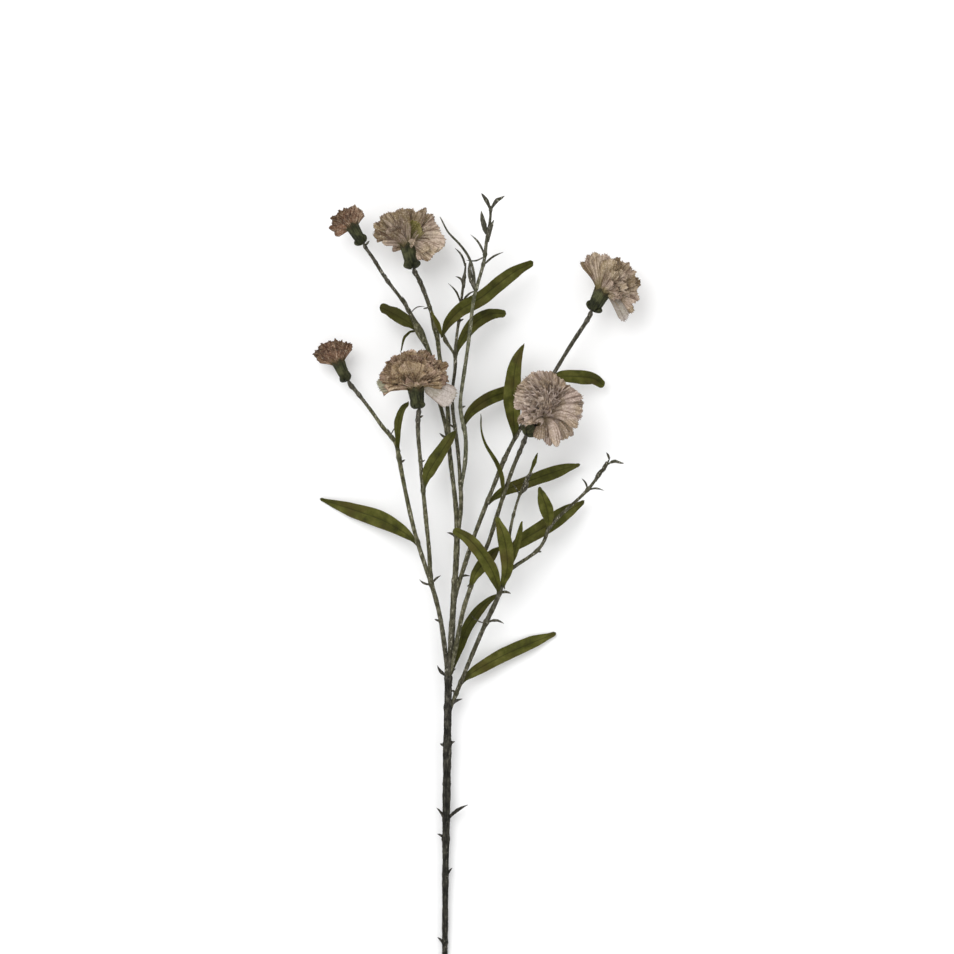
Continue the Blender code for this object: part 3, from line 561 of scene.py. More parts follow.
# leaf, the stem it grows on, shade (0 dark to 1 bright), roll at the tip in degrees, wave in
# mm, half width kept to the blunt tip in mm, share of the width kept
LEAVES = (
    ("leaf_left_long", "left_bud_stem", 0.95, 18, 0.5, 1.2, 1),
    ("leaf_left_curled", "left_bud_stem", 0.35, 40, 0.2, 0.6, 1),
    ("leaf_left_bloom", "left_bloom_stem", 0.5, 22, 0.5, 0.8, 1.1),
    ("leaf_top_bud_blunt", "top_bud_stem", 0, -25, 0.5, 3.1, 1.1),
    ("leaf_top_bud_thin", "top_bud_stem", 0, 50, 0.1, 0.3, 0.8),
    ("leaf_arm_long", "short_sprig_arm", 0.6, -24, 0.6, 2.1, 1),
    ("leaf_arm_sheath", "short_sprig_arm", 0.9, 20, 0.1, 0.5, 1),
    ("leaf_sprig_blunt", "short_sprig_stem", 0.35, -30, 0.5, 2.5, 1.15),
    ("leaf_tall_sprig", "tall_sprig_stem", 0.5, -26, 0.6, 0.8, 1),
    ("leaf_upright", "right_bloom_stem", 1, 30, 0.6, 0.5, 1.12),
    ("leaf_right_bloom", "right_bloom_stem", 0.75, -20, 0.4, 2.6, 1.15),
    ("leaf_centre_thin", "centre_bloom_stem", 0.25, 60, 0.2, 0.3, 0.8),
    ("leaf_centre_long", "right_bloom_stem", 0.5, -22, 0.6, 1.2, 0.95),
    ("leaf_lower_sprig", "lower_right_stem", 0.8, 26, 0.4, 1.5, 1.15),
    ("leaf_twig_long", "lower_right_twig", 0.6, -24, 0.6, 1.5, 1),
    ("leaf_over_stems", "lower_right_stem", 0.9, 24, 0.4, 2.3, 1.2),
    ("leaf_fork_tall", "lower_right_stem", 0.95, 20, 0.4, 1.6, 1.15),
    ("leaf_fork_small", "lower_right_stem", 0.6, -20, 0.3, 0.7, 1),
    ("leaf_centre_low", "centre_bloom_stem", 0.7, -25, 0.4, 1, 1.1),
    ("leaf_fork_dark", "main_stem", 0.2, -30, 0.5, 0.8, 1),
    ("leaf_lowest", "lower_right_stem", 0.8, 20, 0.5, 1.6, 1),
    ("leaf_twig_tip", "lower_right_twig", 0.4, 10, 0.1, 0.4, 1),
    ("leaf_tall_sprig_thin", "tall_sprig_stem", 0.8, 60, 0.1, 0.4, 0.55),
    ("bract_tall_tip_left", "tall_sprig_stem", 0.95, 20, 0.1, 0.5, 1.3),
    ("bract_tall_tip_right", "tall_sprig_stem", 0.95, 20, 0.1, 0.5, 1.3),
    ("bract_side_sprig", "lower_right_stem", 0.7, 20, 0.1, 0.5, 1.2),
)


def leaf_grid(line, half, roll, wave, seed):
    """A leaf blade as a grid. Along it, the line and its half width; across it, a channel
    that opens towards the tip, a keel at the midrib and a wave that grows to each edge."""
    rng = np.random.default_rng(seed)
    along = np.linspace(0, 1, len(line))[:, None]
    across = np.linspace(-1, 1, LEAF_COLUMNS)[None, :]
    ahead, side, upward = rails(line)
    turn = np.radians(roll) * along[:, 0] ** 1.5 + np.radians(8) * np.sin(along[:, 0] * 5 + seed)
    turned_side = side * np.cos(turn)[:, None] + upward * np.sin(turn)[:, None]
    turned_up = np.cross(turned_side, ahead)
    phase = rng.uniform(0, math.tau, 4)
    channel = 0.34 * (1 - 0.55 * along) * np.abs(across) ** 1.4
    keel = -0.16 * np.exp(-(across / 0.1) ** 2)
    ripple = wave * MM * np.abs(across) ** 2 * np.sin(np.sign(across) * 0.9 + 17 * along + phase[0])
    ripple = ripple + 0.4 * wave * MM * np.abs(across) ** 3 * np.sin(41 * along + phase[1] + across)
    swing = 0.05 * np.sin(9 * along + phase[2]) * np.abs(across)
    height = half[:, None] * (channel + keel) + ripple
    width = half[:, None] * across * (1 + swing)
    return line[:, None] + turned_side[:, None] * width[..., None] + turned_up[:, None] * height[..., None]


for number, (leaf, stem, shade, roll, wave, blunt, kept) in enumerate(LEAVES):
    points, _ = node_mesh(leaf)
    stem_line, stem_half = stem_lines[stem]
    gaps = np.linalg.norm(points[:, None] - stem_line[None], axis=2).min(axis=1)
    foot = points[np.argmin(gaps)]
    tip = points[np.argmax(np.linalg.norm(points - foot, axis=1))]
    middles, halves = slices(leaf, tip - foot, 1.6 * MM, 0.9 * MM, END_SKIP)
    ahead = unit(np.gradient(middles, axis=0))
    chord = unit(tip - foot)
    halves = halves * np.clip(ahead @ chord, 0.35, 1.0)
    root = 5.0 * MM if leaf == "leaf_twig_tip" else 2.2 * MM
    middles = np.vstack([middles[0] - ahead[0] * root, middles])
    halves = np.concatenate([[halves[0] * 0.9], halves])
    line, half = even_line(middles, halves, np.linalg.norm(tip - foot) / (LEAF_ROWS + 6), 6)
    to_tip = np.linalg.norm(line - line[-1], axis=1)
    wide_end = blunt * (MM + 0.05 * to_tip) * (to_tip < 0.35 * to_tip.max())
    rounded = np.sqrt(1 - np.clip(1 - to_tip / TIP_ROUNDING, 0, 1) ** 2)
    half = np.maximum(half * kept, wide_end) * (0.06 + 0.98 * rounded)
    grid = clear_of_floor(leaf_grid(line, half, roll, wave, 500 + number), 1.2 * MM)
    slot_name = "bract" if leaf.startswith("bract") else "leaf"
    twiggy = slot_name == "bract" or leaf == "leaf_tall_sprig_thin"
    finish = sprig_skin if twiggy else dry_leaf
    new_piece("fine_" + leaf, sheet_shell(grid, LEAF_THICKNESS), shade, finish, (leaf,))


# ---------------- calyxes
# Under each head a ribbed green cup, grown as one tube, ends in five pointed teeth that
# clasp the petals; a ring of small scales sits at its foot over the swollen stem end.
CUP_ROWS = 22
CUP_COLUMNS = 60
CUP_TEETH = 5
FLOWERS = ("left_bud", "top_bud", "top_bloom", "left_bloom", "right_bloom", "centre_bloom")


def flower_axes(flower):
    """Where a flower stands and which way it faces, from its calyx and petal nodes.

    Both are turned about one line, so that line joins their middles. Returns the foot of
    the calyx, a 3x3 frame (level, upward, facing), and the calyx length and mouth radius.
    """
    cup, head = node_mesh("calyx_" + flower)[0], node_mesh("petals_" + flower)[0]
    facing = unit(head.mean(axis=0) - cup.mean(axis=0))
    level = unit(np.cross((0.0, 0.0, 1.0), facing))
    axes = np.stack([level, np.cross(facing, level), facing])
    foot = cup.mean(axis=0) + facing * ((cup - cup.mean(axis=0)) @ facing).min()
    local = (cup - foot) @ axes.T
    mouth = np.hypot(local[:, 0], local[:, 1]).max()
    return dict(foot=foot, axes=axes, length=local[:, 2].max(), mouth=mouth)


def calyx_material():
    """Calyx skin: dull dark green, ribbed, paler between the ribs, with dry brown teeth."""
    made, tree, skin, where = new_finish("calyx_skin", 0.15)
    along = put(tree, "SeparateXYZ", {"Vector": where["UV"]}).outputs["Y"]
    feeds = {"Vector": where["UV"], "Scale": 9.5, "Distortion": 1.2, "Detail": 2.0}
    ribs = put(tree, "TexWave", feeds, bands_direction="X").outputs["Fac"]
    patches = noise(tree, where["Object"], 170.0, 5.0)
    body = ramp(tree, patches, ((0.34, (0.011, 0.013, 0.006)), (0.5, (0.034, 0.036, 0.014)),
                                (0.66, (0.096, 0.098, 0.044))))
    streaks = noise(tree, stretched(tree, where["UV"], (22.0, 1.5, 1.0)), 1.0)
    body = laid(tree, body, (0.105, 0.108, 0.05), streaks, (0.5, 0), (0.64, 0.6))
    body = laid(tree, body, (0.01, 0.011, 0.005), streaks, (0.34, 0.7), (0.46, 0))
    body = laid(tree, body, (0.014, 0.017, 0.01), ribs, (0.25, 0.3), (0.75, 0))
    body = laid(tree, body, (0.06, 0.045, 0.024), along, (0.8, 0), (1.0, 0.7))
    surfaced(tree, skin, body, patches, (0.6, 0.85), joined(tree, "ADD", ribs, patches), 0.6, 0.0007)
    return made


def ring_shell(grid, thickness):
    """A closed wall that runs right round: outer skin, inner skin, and the two rims."""
    rows, columns = grid.shape[:2]
    round_trip = (np.roll(grid, -1, axis=1) - np.roll(grid, 1, axis=1)) / 2
    outward = unit(np.cross(round_trip, np.gradient(grid, axis=0)))
    points = np.concatenate([grid.reshape(-1, 3), (grid - outward * thickness).reshape(-1, 3)])
    index = np.arange(rows * columns).reshape(rows, columns)
    onward = np.roll(index, -1, axis=1)
    outer = np.stack([index[:-1], onward[:-1], onward[1:], index[1:]], axis=-1).reshape(-1, 4)
    inner = outer[:, ::-1] + rows * columns
    count = rows * columns
    below = np.stack([index[0], index[0] + count, onward[0] + count, onward[0]], axis=-1)
    above = np.stack([index[-1], onward[-1], onward[-1] + count, index[-1] + count], axis=-1)
    return points, np.concatenate([outer, inner, below, above]).tolist(), grid_uv(rows, columns)


calyx_skin = calyx_material()
flowers = {flower: flower_axes(flower) for flower in FLOWERS}
for number, flower in enumerate(FLOWERS):
    shape = flowers[flower]
    rng = np.random.default_rng(700 + number)
    turn = np.linspace(0, math.tau, CUP_COLUMNS, endpoint=False)[None, :]
    along = np.linspace(0, 1, CUP_ROWS)[:, None]
    # teeth: a triangle wave round the rim, deepest between the teeth
    saw = np.abs(((CUP_TEETH * turn / math.tau + 0.13 * number) % 1) * 2 - 1)
    reach = shape["length"] * (0.9 + 0.2 * (1 - saw) ** 1.2)
    height = along ** 0.9 * reach
    share = height / shape["length"]
    profile = np.interp(share, (0, 0.05, 0.14, 0.35, 0.7, 1.0, 1.2),
                        (0.5, 0.66, 0.74, 0.8, 0.88, 1.00, 1.1)) * shape["mouth"]
    grain = rng.normal(0, 0.006, (CUP_ROWS, CUP_COLUMNS))
    radius = profile * (1 + 0.022 * np.cos(20 * turn) * np.sin(math.pi * along) + grain)
    local = np.stack([radius * np.cos(turn), radius * np.sin(turn), height - 0.6 * MM + 0 * radius], axis=-1)
    parts = [ring_shell(local @ shape["axes"] + shape["foot"], 0.4 * MM)]
    # the scales at the foot, in two pairs
    for scale in range(4):
        middle = math.tau * scale / 4 + 0.5 + number
        blade_u = np.linspace(0, 1, 12)[:, None]
        blade_v = np.linspace(-1, 1, 9)[None, :]
        spread = 0.7 * np.sqrt(1 - 0.97 * blade_u ** 2.5) * blade_v
        out = shape["mouth"] * (0.42 + (0.34 + 0.16 * (scale % 2)) * np.sin(2.5 * blade_u ** 0.8))
        rise = shape["length"] * (0.26 + 0.1 * (scale % 3)) * blade_u - 1.6 * MM
        around = middle + spread
        local = np.stack([out * np.cos(around), out * np.sin(around), rise + 0 * spread], axis=-1)
        parts.append(sheet_shell(local @ shape["axes"] + shape["foot"], 1.5 * MM))
    points, faces, uv = gathered(parts)
    shell = (clear_of_floor(points, 1.0 * MM), faces, uv)
    new_piece("fine_calyx_" + flower, shell, 0.5, calyx_skin, ("calyx_" + flower,))


# ---------------- petals
# A carnation's head is thirty to sixty petals. Each has a narrow claw in the calyx and a
# fan-shaped blade with a toothed, ruffled rim; the outer ones lie open, the inner ones stand.
PETAL_ROWS = 18
PETAL_COLUMNS = 49
PETAL_THICKNESS = 0.22 * MM


def petal_material(name, heart, body_deep, body, body_pale, rim_and_shade_colour, stain, blush, rim_start,
                   heart_reach=0.45):
    """Dry petal: silky lines that fan from the claw, painted shade along crease lines and at
    its side edges (the shade in the gaps between petals), small spots of painted light and
    shade for a crumpled surface, a greenish heart, stains and a frayed brown rim. The tint
    runs from a stained petal at 0 to a bleached one at 1, and the heart colour fades out at
    heart_reach, a share of the petal's length."""
    made, tree, skin, where = new_finish(name, 0.15)
    skin.inputs["Sheen Weight"].default_value = 0.1
    skin.inputs["Sheen Roughness"].default_value = 0.45
    split = put(tree, "SeparateXYZ", {"Vector": where["UV"]}).outputs
    along, across, tint = split["Y"], split["X"], tint_of(tree)
    shifted = put(tree, "CombineXYZ", {"Z": tint}).outputs[0]
    moved = put(tree, "VectorMath", {0: where["UV"], 1: shifted}, operation="ADD").outputs[0]
    threads = noise(tree, stretched(tree, moved, (30.0, 1.4, 60.0)), 1.0, 5.0, 0.62)
    # crease lines: they drive the bump, and below they also lay painted shade in the petal's folds
    crease_shade_and_bump = noise(tree, stretched(tree, moved, (9.0, 0.7, 47.0)), 1.0, 2.0, 0.5)
    patches = noise(tree, where["Object"], 230.0)
    base = ramp(tree, threads, ((0.32, body_deep), (0.5, body), (0.68, body_pale)))
    base = laid(tree, base, body_deep, tint, (0.0, 0.8), (0.5, 0))
    base = laid(tree, base, body_pale, tint, (0.5, 0), (1.0, 0.85))
    base = laid(tree, base, body_deep, patches, (0.46, 0), (0.66, 0.55))
    stains = noise(tree, where["Object"], 90.0, 2.0, 0.5)
    base = laid(tree, base, stain, stains, (0.48, 0), (0.62, 0.5))
    base = laid(tree, base, blush, stains, (0.38, 0.6), (0.5, 0))
    # small dark and pale spots: painted light and shade that stand for a crumpled petal surface
    crumple_light_and_shade = noise(tree, where["Object"], 850.0)
    base = laid(tree, base, body_deep, crumple_light_and_shade, (0.52, 0), (0.66, 0.55))
    base = laid(tree, base, body_pale, crumple_light_and_shade, (0.34, 0.5), (0.48, 0))
    # painted shade: the rim colour laid thinly along the crease lines, for the shade in the folds
    base = laid(tree, base, rim_and_shade_colour, crease_shade_and_bump, (0.34, 0.55), (0.43, 0))
    # painted shade: the rim colour laid along both side edges, for the shade in the gaps between neighbouring
    # petals
    base = laid(tree, base, rim_and_shade_colour, across, (0.0, 0.75), (0.05, 0.35), (0.11, 0), (0.89, 0), (0.95, 0.35),
                (1.0, 0.75))
    base = laid(tree, base, heart, along, (0.12, 0.8), (heart_reach, 0))
    reach = joined(tree, "ADD", along, joined(tree, "MULTIPLY", patches, 0.2))
    begins = rim_start * 0.8
    rim = greys(tree, joined(tree, "MULTIPLY", reach, 0.8), (begins, 0), (begins + 0.05, 0.75))
    rim = laid(tree, rim, (0, 0, 0), tint, (0.5, 0), (0.9, 0.8))
    base = mixed(tree, rim, base, rim_and_shade_colour)
    surfaced(tree, skin, base, threads, (0.76, 0.92), joined(tree, "ADD", threads, crease_shade_and_bump), 0.6, 0.0007)
    return made


tan_petal = petal_material("tan_petal", (0.15, 0.115, 0.042), (0.155, 0.102, 0.056), (0.405, 0.285, 0.18),
                           (0.8, 0.65, 0.49), (0.08, 0.036, 0.018), (0.33, 0.235, 0.11),
                           (0.45, 0.305, 0.24), 1.05)
beige_petal = petal_material("beige_petal", (0.15, 0.122, 0.042), (0.15, 0.105, 0.057), (0.395, 0.3, 0.205),
                             (0.77, 0.65, 0.52), (0.088, 0.042, 0.022), (0.3, 0.225, 0.11),
                             (0.48, 0.37, 0.31), 1.06)
rose_petal = petal_material("rose_petal", (0.18, 0.13, 0.06), (0.222, 0.17, 0.13), (0.505, 0.394, 0.296),
                            (0.78, 0.665, 0.58), (0.115, 0.066, 0.04), (0.35, 0.255, 0.14),
                            (0.48, 0.375, 0.33), 1.08)
bud_petal = petal_material("bud_petal", (0.075, 0.062, 0.022), (0.1, 0.048, 0.025), (0.28, 0.16, 0.088),
                           (0.74, 0.61, 0.47), (0.055, 0.022, 0.011), (0.17, 0.11, 0.05),
                           (0.3, 0.165, 0.1), 1.03)


def petal_grid(start, rise, tip, back, width, ruffle, bulge, fold, stand, rng):
    """One petal as a grid of points, from its claw to its toothed rim.

    Its middle line is a four-point curve: it leaves the claw along the flower's axis for a
    share called stand, and bends over to the tip, bowed towards its back by the bulge.
    Across it the half width opens from the claw into a fan that curls away from the back.
    A wave that grows to the rim ruffles it, finer ones crimp it, and the rim has teeth.
    """
    along = np.linspace(0, 1, PETAL_ROWS)[:, None] ** 0.75
    across = np.linspace(-1, 1, PETAL_COLUMNS)[None, :]
    phase = rng.uniform(0, math.tau, 8)
    steps = np.linspace(0, 1, 60)[:, None]
    length = np.linalg.norm(tip - start)
    first = start + rise * stand * length
    second = first + (tip - first) * 0.45 + back * bulge * length
    line = (start * (1 - steps) ** 3 + 3 * first * steps * (1 - steps) ** 2
            + 3 * second * steps ** 2 * (1 - steps) + tip * steps ** 3)
    ahead = unit(np.gradient(line, axis=0))
    side = unit(np.cross(ahead, back))
    outward = np.cross(side, ahead)
    notch = np.abs(np.sin(across * 13 + phase[0])) * 0.6 + np.abs(np.sin(across * 29 + phase[1])) * 0.4
    reach = along * (1 - 0.15 * across ** 2 - 0.045 * notch * along ** 5
                     + 0.03 * np.sin(3 * across + phase[2]))
    packed = [np.interp(reach, steps[:, 0], column) for column in np.hstack([line, side, outward]).T]
    middle, side, outward = (np.stack(packed[k:k + 3], axis=-1) for k in (0, 3, 6))
    claw = 1.2 * MM
    half = claw + (width - claw) * np.clip((reach - 0.1) / 0.9, 0, 1) ** 0.8
    waves = rng.uniform(1.8, 3.0)
    swirls = rng.uniform(-1, 1, (3, 2)) * (9, 12)
    crimp = 0.75 * ruffle * reach ** 2.2 * np.sin(waves * math.pi * across + phase[4])
    crimp = crimp + 0.6 * ruffle * reach ** 4 * np.sin(2.3 * waves * math.pi * across + phase[5] + 2 * reach)
    crimp = crimp + 0.4 * ruffle * reach ** 7 * np.sin(4.3 * waves * math.pi * across + phase[6] + 4 * reach)
    pleats = (0.16 * MM * reach * np.sin(21 * across + phase[7])
              + 0.1 * MM * reach * np.sin(34 * across + phase[3]))
    crumple = 0.28 * MM * reach * sum(np.sin(a * across + b * along + phase[k])
                                      for k, (a, b) in enumerate(swirls))
    meander = 0.28 * ruffle * reach ** 4 * np.cos(2.3 * waves * math.pi * across + phase[5] + 2 * reach)
    sideways = half * across * (1 - 0.08 * reach ** 2) + meander
    lifted = crimp + pleats + crumple - sideways ** 2 / (50 * MM) + fold * np.abs(across) * half
    return middle + side * sideways[..., None] + outward * lifted[..., None]


# the petals that show their blades: tip from the calyx mouth (right, forward, up), half
# width and ruffle (all in mm), bulge (a share), tint, and fold (a share) where there is one
SHOWN = {
    "left_bloom": (
        (-22.3, 3.1, 3, 7, 0.9, 0.1, 0.3), (-25.7, 10.6, 5, 8, 1.5, -0.12, 0.35),
        (-16.5, 15.1, 16, 9, 0.8, 0, 0.5), (-7.4, 17.1, 20, 9, 0.5, 0, 0.4),
        (2.2, 17.7, 21, 8.5, 0.5, 0, 0.6), (11.2, 16.4, 18, 8.5, 0.9, -0.05, 0.5),
        (17.3, 11.1, 11, 8, 1.3, -0.08, 0.6), (22.1, 5.1, 4, 8, 1.5, 0.1, 0.35),
        (-22.2, 16.8, 6, 8, 1.6, -0.25, 0.35), (-15.9, 20.9, 9, 8.5, 1.6, -0.25, 0.5),
        (-7.6, 23.6, 11, 8.5, 1.7, -0.25, 0.4), (2.8, 22.8, 12, 8.5, 1.7, -0.25, 0.55),
        (13.8, 21.5, 10, 8.5, 1.8, -0.25, 0.4), (21.4, 16.8, 6, 8.5, 1.8, -0.22, 0.45),
        (-5.1, 26.9, -4, 8.5, 1.4, 0, 0.95), (6, 28.3, -4, 6, 1.4, 0, 0),
        (12.5, 17.3, 14, 7, 1.8, -0.22, 0.65), (-11, 18, 14, 7, 1.5, -0.2, 0.3),
        (1.5, 17.9, 15, 7, 1.5, -0.2, 0.35),
    ),
    "top_bloom": (
        (-25.9, 6, -1, 3.5, 0.5, 0, 0.1, 0.8), (-25.8, 9.3, 2, 5.5, 0.8, 0, 0.15, 0.4),
        (-24.3, 14.6, 6, 6.5, 1, 0, 0.2, 0.3), (-20.7, 19.1, 10, 6.5, 1, 0, 0.1, 0.2),
        (-15.1, 22.5, 12, 7.5, 1.2, 0, 0.25), (-6.8, 23.9, 12, 8.5, 1.2, 0, 0.05),
        (-19.5, 0.8, 3, 2.6, 0.4, 0, 0.75, 0.8), (-12, -3.7, -2, 2.6, 0.5, 0, 0.2, 0.8),
        (1.4, 25.1, 5, 8.5, 1.4, -0.1, 0.3), (8.4, 23.5, 8, 6, 1.4, -0.1, 0.6),
        (11.8, 26.9, 0, 3.5, 0.4, 0, 0.3, 0.5), (18.1, 19.7, 3, 7.5, 1.4, -0.1, 0.4),
        (23.7, 10.4, 6, 10, 0.9, -0.1, 0.6), (25.9, 0.4, 9, 11, 0.9, 0, 0.8),
        (20.3, -7.9, 9, 10, 0.9, 0.1, 0.6), (13.3, -9.1, 6, 8, 0.9, 0.1, 0.5),
        (-15.8, 10.6, 13, 5, 0.6, 0, 0.05, 0.5), (-17.1, 16.6, 16, 1, 0.2, 0, 0.85, 0.9),
        (-11.6, 7.7, 15, 3.2, 0.4, 0, 0.2, 0.6),
    ),
    "right_bloom": (
        (-15.4, 22.2, -2, 3.2, 0.4, 0, 0.1, 0.5), (-12, 25.4, 3, 5.5, 0.7, 0, 0.35, 0.4),
        (-7.3, 27.2, 8, 6.5, 0.8, 0, 0.65, 0.2), (-1.2, 26.3, 12, 7.5, 0.8, 0, 0.7),
        (5, 23.4, 13, 7.5, 0.9, 0, 0.55, 0.2), (9.1, 13.6, 15, 6.5, 1, 0, 0.6),
        (12.2, 22.3, 8, 8, 1.4, -0.16, 0.35), (18.4, 18.7, 10, 8.5, 1.5, -0.16, 0.6),
        (23.2, 11, 11, 8.5, 1.5, -0.16, 0.5), (25.4, 2.2, 8, 8.5, 1.4, -0.15, 0.6),
        (24.9, -6.8, 5, 8, 1.2, 0, 0.75), (20.7, -15.8, 4, 6, 0.8, 0.1, 0.5),
        (16.7, 3.8, 16, 7, 1.6, -0.2, 0.7), (26.4, 7.4, 2, 7.5, 1.3, -0.1, 0.1),
        (16, 12.1, 16, 7, 1.6, -0.2, 0.65), (11.3, -3, 13, 6.5, 1.3, -0.1, 0.35),
        (10.6, 18.6, 13, 6.5, 1.5, -0.2, 0.5),
    ),
    "centre_bloom": (
        (0.6, -14.2, 8, 6.5, 1.3, 0.1, 0.15), (6.8, -17.7, 6, 5.8, 1, 0, 0.1),
        (12.9, -18.4, 12, 5.2, 0.6, 0, 0.4), (19.3, -14.9, 6, 5.6, 0.8, 0, 0),
        (23.5, -10.7, 4, 5.6, 0.7, 0, 0), (28.1, -4.6, 11, 5.2, 0.6, 0, 0.3), (29.7, 0.3, 6, 5.6, 0.7, 0, 0),
        (30.2, 5.1, 11, 5.5, 0.8, 0, 0.25), (31, 10.7, 7, 6, 0.9, 0, 0),
        (30.2, 16.8, 10, 6.5, 1.6, 0.15, 0.2), (26.9, 20.4, 4, 8, 1.6, 0.15, 0.4),
        (20.7, 25.3, 4, 8, 2.2, 0.18, 0.45), (13.8, 30.1, 5, 8, 2.2, 0.18, 0.5),
        (5.4, 34.2, 6, 8.5, 2.2, 0.18, 0.45), (-3.6, 34.9, 8, 8.5, 2.2, 0.18, 0.6),
        (-11.2, 30.7, 9, 8.5, 2.2, 0.18, 0.45), (-16.8, 24.4, 11, 8, 1.7, 0.15, 0.45),
        (-17.5, 16.1, 13, 8.5, 1.2, 0.1, 0.7), (-17.5, 13.4, 12, 7, 1.2, 0.1, 0.65),
        (-14, 10.6, 13, 5, 1, 0.1, 0.5), (-6.4, 11.2, 14, 4.6, 1, 0.1, 0.6),
        (-12, 22.3, 15, 6.5, 2.6, 0.28, 0.6), (-6.5, 27.1, 15, 7, 2.8, 0.3, 0.8),
        (0.4, 28.5, 14, 7, 2.8, 0.3, 0.6), (8.1, 26.4, 13, 7, 2.8, 0.3, 0.5),
        (15.7, 21.7, 11, 7, 2.8, 0.3, 0.7), (22.7, 16.9, 9, 7, 2.4, 0.28, 0.7),
        (-7.2, 18.7, 18, 6.5, 2.5, 0.26, 0.75), (-0.3, 22.2, 18, 6.5, 2.6, 0.26, 0.55),
        (6.6, 20.8, 17, 6.5, 2.6, 0.26, 0.8), (12.8, 16, 15, 6, 2.4, 0.26, 0.65),
        (-1.7, 14.6, 20, 6, 1.6, 0.18, 0.85), (5.2, 13.9, 18, 5.5, 2, 0.22, 0.65),
        (-11.3, 13.2, 17, 7, 1.4, 0.12, 0.9),
    ),
    "left_bud": (
        (-15, 2.3, 2, 4, 0.8, 0, 0.5), (-17, 7.1, 4, 4.5, 1.2, -0.2, 0.35),
        (-13.4, 12, 5, 4.5, 1, -0.22, 0.5), (-7.1, 14.7, 6, 4.5, 1.2, -0.22, 0.35),
        (-0.8, 15.4, 6, 4.5, 1.2, -0.22, 0.5), (4.8, 14.7, 6, 4.5, 1.2, -0.22, 0.4),
        (8.9, 12.7, 3, 4.2, 1, -0.1, 0.5), (-11.1, 6.2, 10, 4.2, 1, -0.18, 0.2),
        (-4.1, 8.9, 12, 4.2, 1.1, -0.2, 0.25), (2.9, 8.9, 11, 4.2, 1.1, -0.2, 0.2),
    ),
    "top_bud": (
        (-12.8, -6, 1, 4, 0.8, 0, 0.35), (-15.5, -2, 3, 4.2, 1.2, -0.1, 0.35),
        (-14.7, 4.2, 5, 4.5, 1.1, -0.22, 0.35), (-10.5, 9, 6, 4.5, 1.2, -0.22, 0.5),
        (-4.3, 12.5, 5, 4.5, 1.2, -0.22, 0.4), (2.6, 14.1, 3, 4.5, 1.1, -0.18, 0.7),
        (7.5, 10.7, 1, 4, 0.9, 0, 0.6), (-10.4, 1.1, 9, 4.2, 1, -0.18, 0.25),
        (-4.7, 5.1, 11, 4.2, 1.1, -0.22, 0.35), (1.5, 7.3, 9, 4.2, 1, -0.18, 0.55),
    ),
}
# flower: filler petals, outermost lean in degrees, their reach aside and ahead in mm,
# finish, slot, side the shown blades turn to the sky (1 back, -1 face), direction left bare,
# share of a petal that stands before it bends
HEADS = {
    "left_bud": (22, 66, 11.5, 14.5, bud_petal, "petal_tan", 1, (0.0, 0.0), 0.3),
    "top_bud": (22, 66, 11.0, 13.5, bud_petal, "petal_tan", 1, (0.0, 0.0), 0.3),
    "top_bloom": (28, 66, 24.0, 24.0, beige_petal, "petal_tan", 1, (0.9, -0.4), 0.3),
    "left_bloom": (34, 84, 24.5, 26.0, tan_petal, "petal_tan", 1, (0.0, 0.0), 0.3),
    "right_bloom": (40, 80, 22.0, 25.5, beige_petal, "petal_tan", 1, (-0.9, -0.1), 0.3),
    "centre_bloom": (36, 84, 24.0, 17.0, rose_petal, "petal_rose", -1, (0.5, -0.85), 0.75),
}
GOLDEN_TURN = math.pi * (3 - math.sqrt(5))
SKYWARD = np.array((0.0, 0.0, 1.0))


def mouth_of(flower):
    """Middle of the calyx mouth, the flower's axis, and the claw ring's radius."""
    shape = flowers[flower]
    return shape["foot"] + shape["axes"][2] * shape["length"], shape["axes"][2], shape["mouth"] * 0.6


def shown_petal(flower, tip, width, ruffle, bulge, fold, turned, rng):
    """A petal given by its tip, with its back (1) or its face (-1) to the sky."""
    mouth, rise, ring = mouth_of(flower)
    target = mouth + np.array(tip) * MM
    aside = target - mouth - rise * ((target - mouth) @ rise)
    start = mouth - rise * 3.0 * MM + unit(aside) * ring
    return petal_grid(start, rise, target, SKYWARD * turned, width * MM, ruffle * MM, bulge, fold,
                      HEADS[flower][-1], rng)


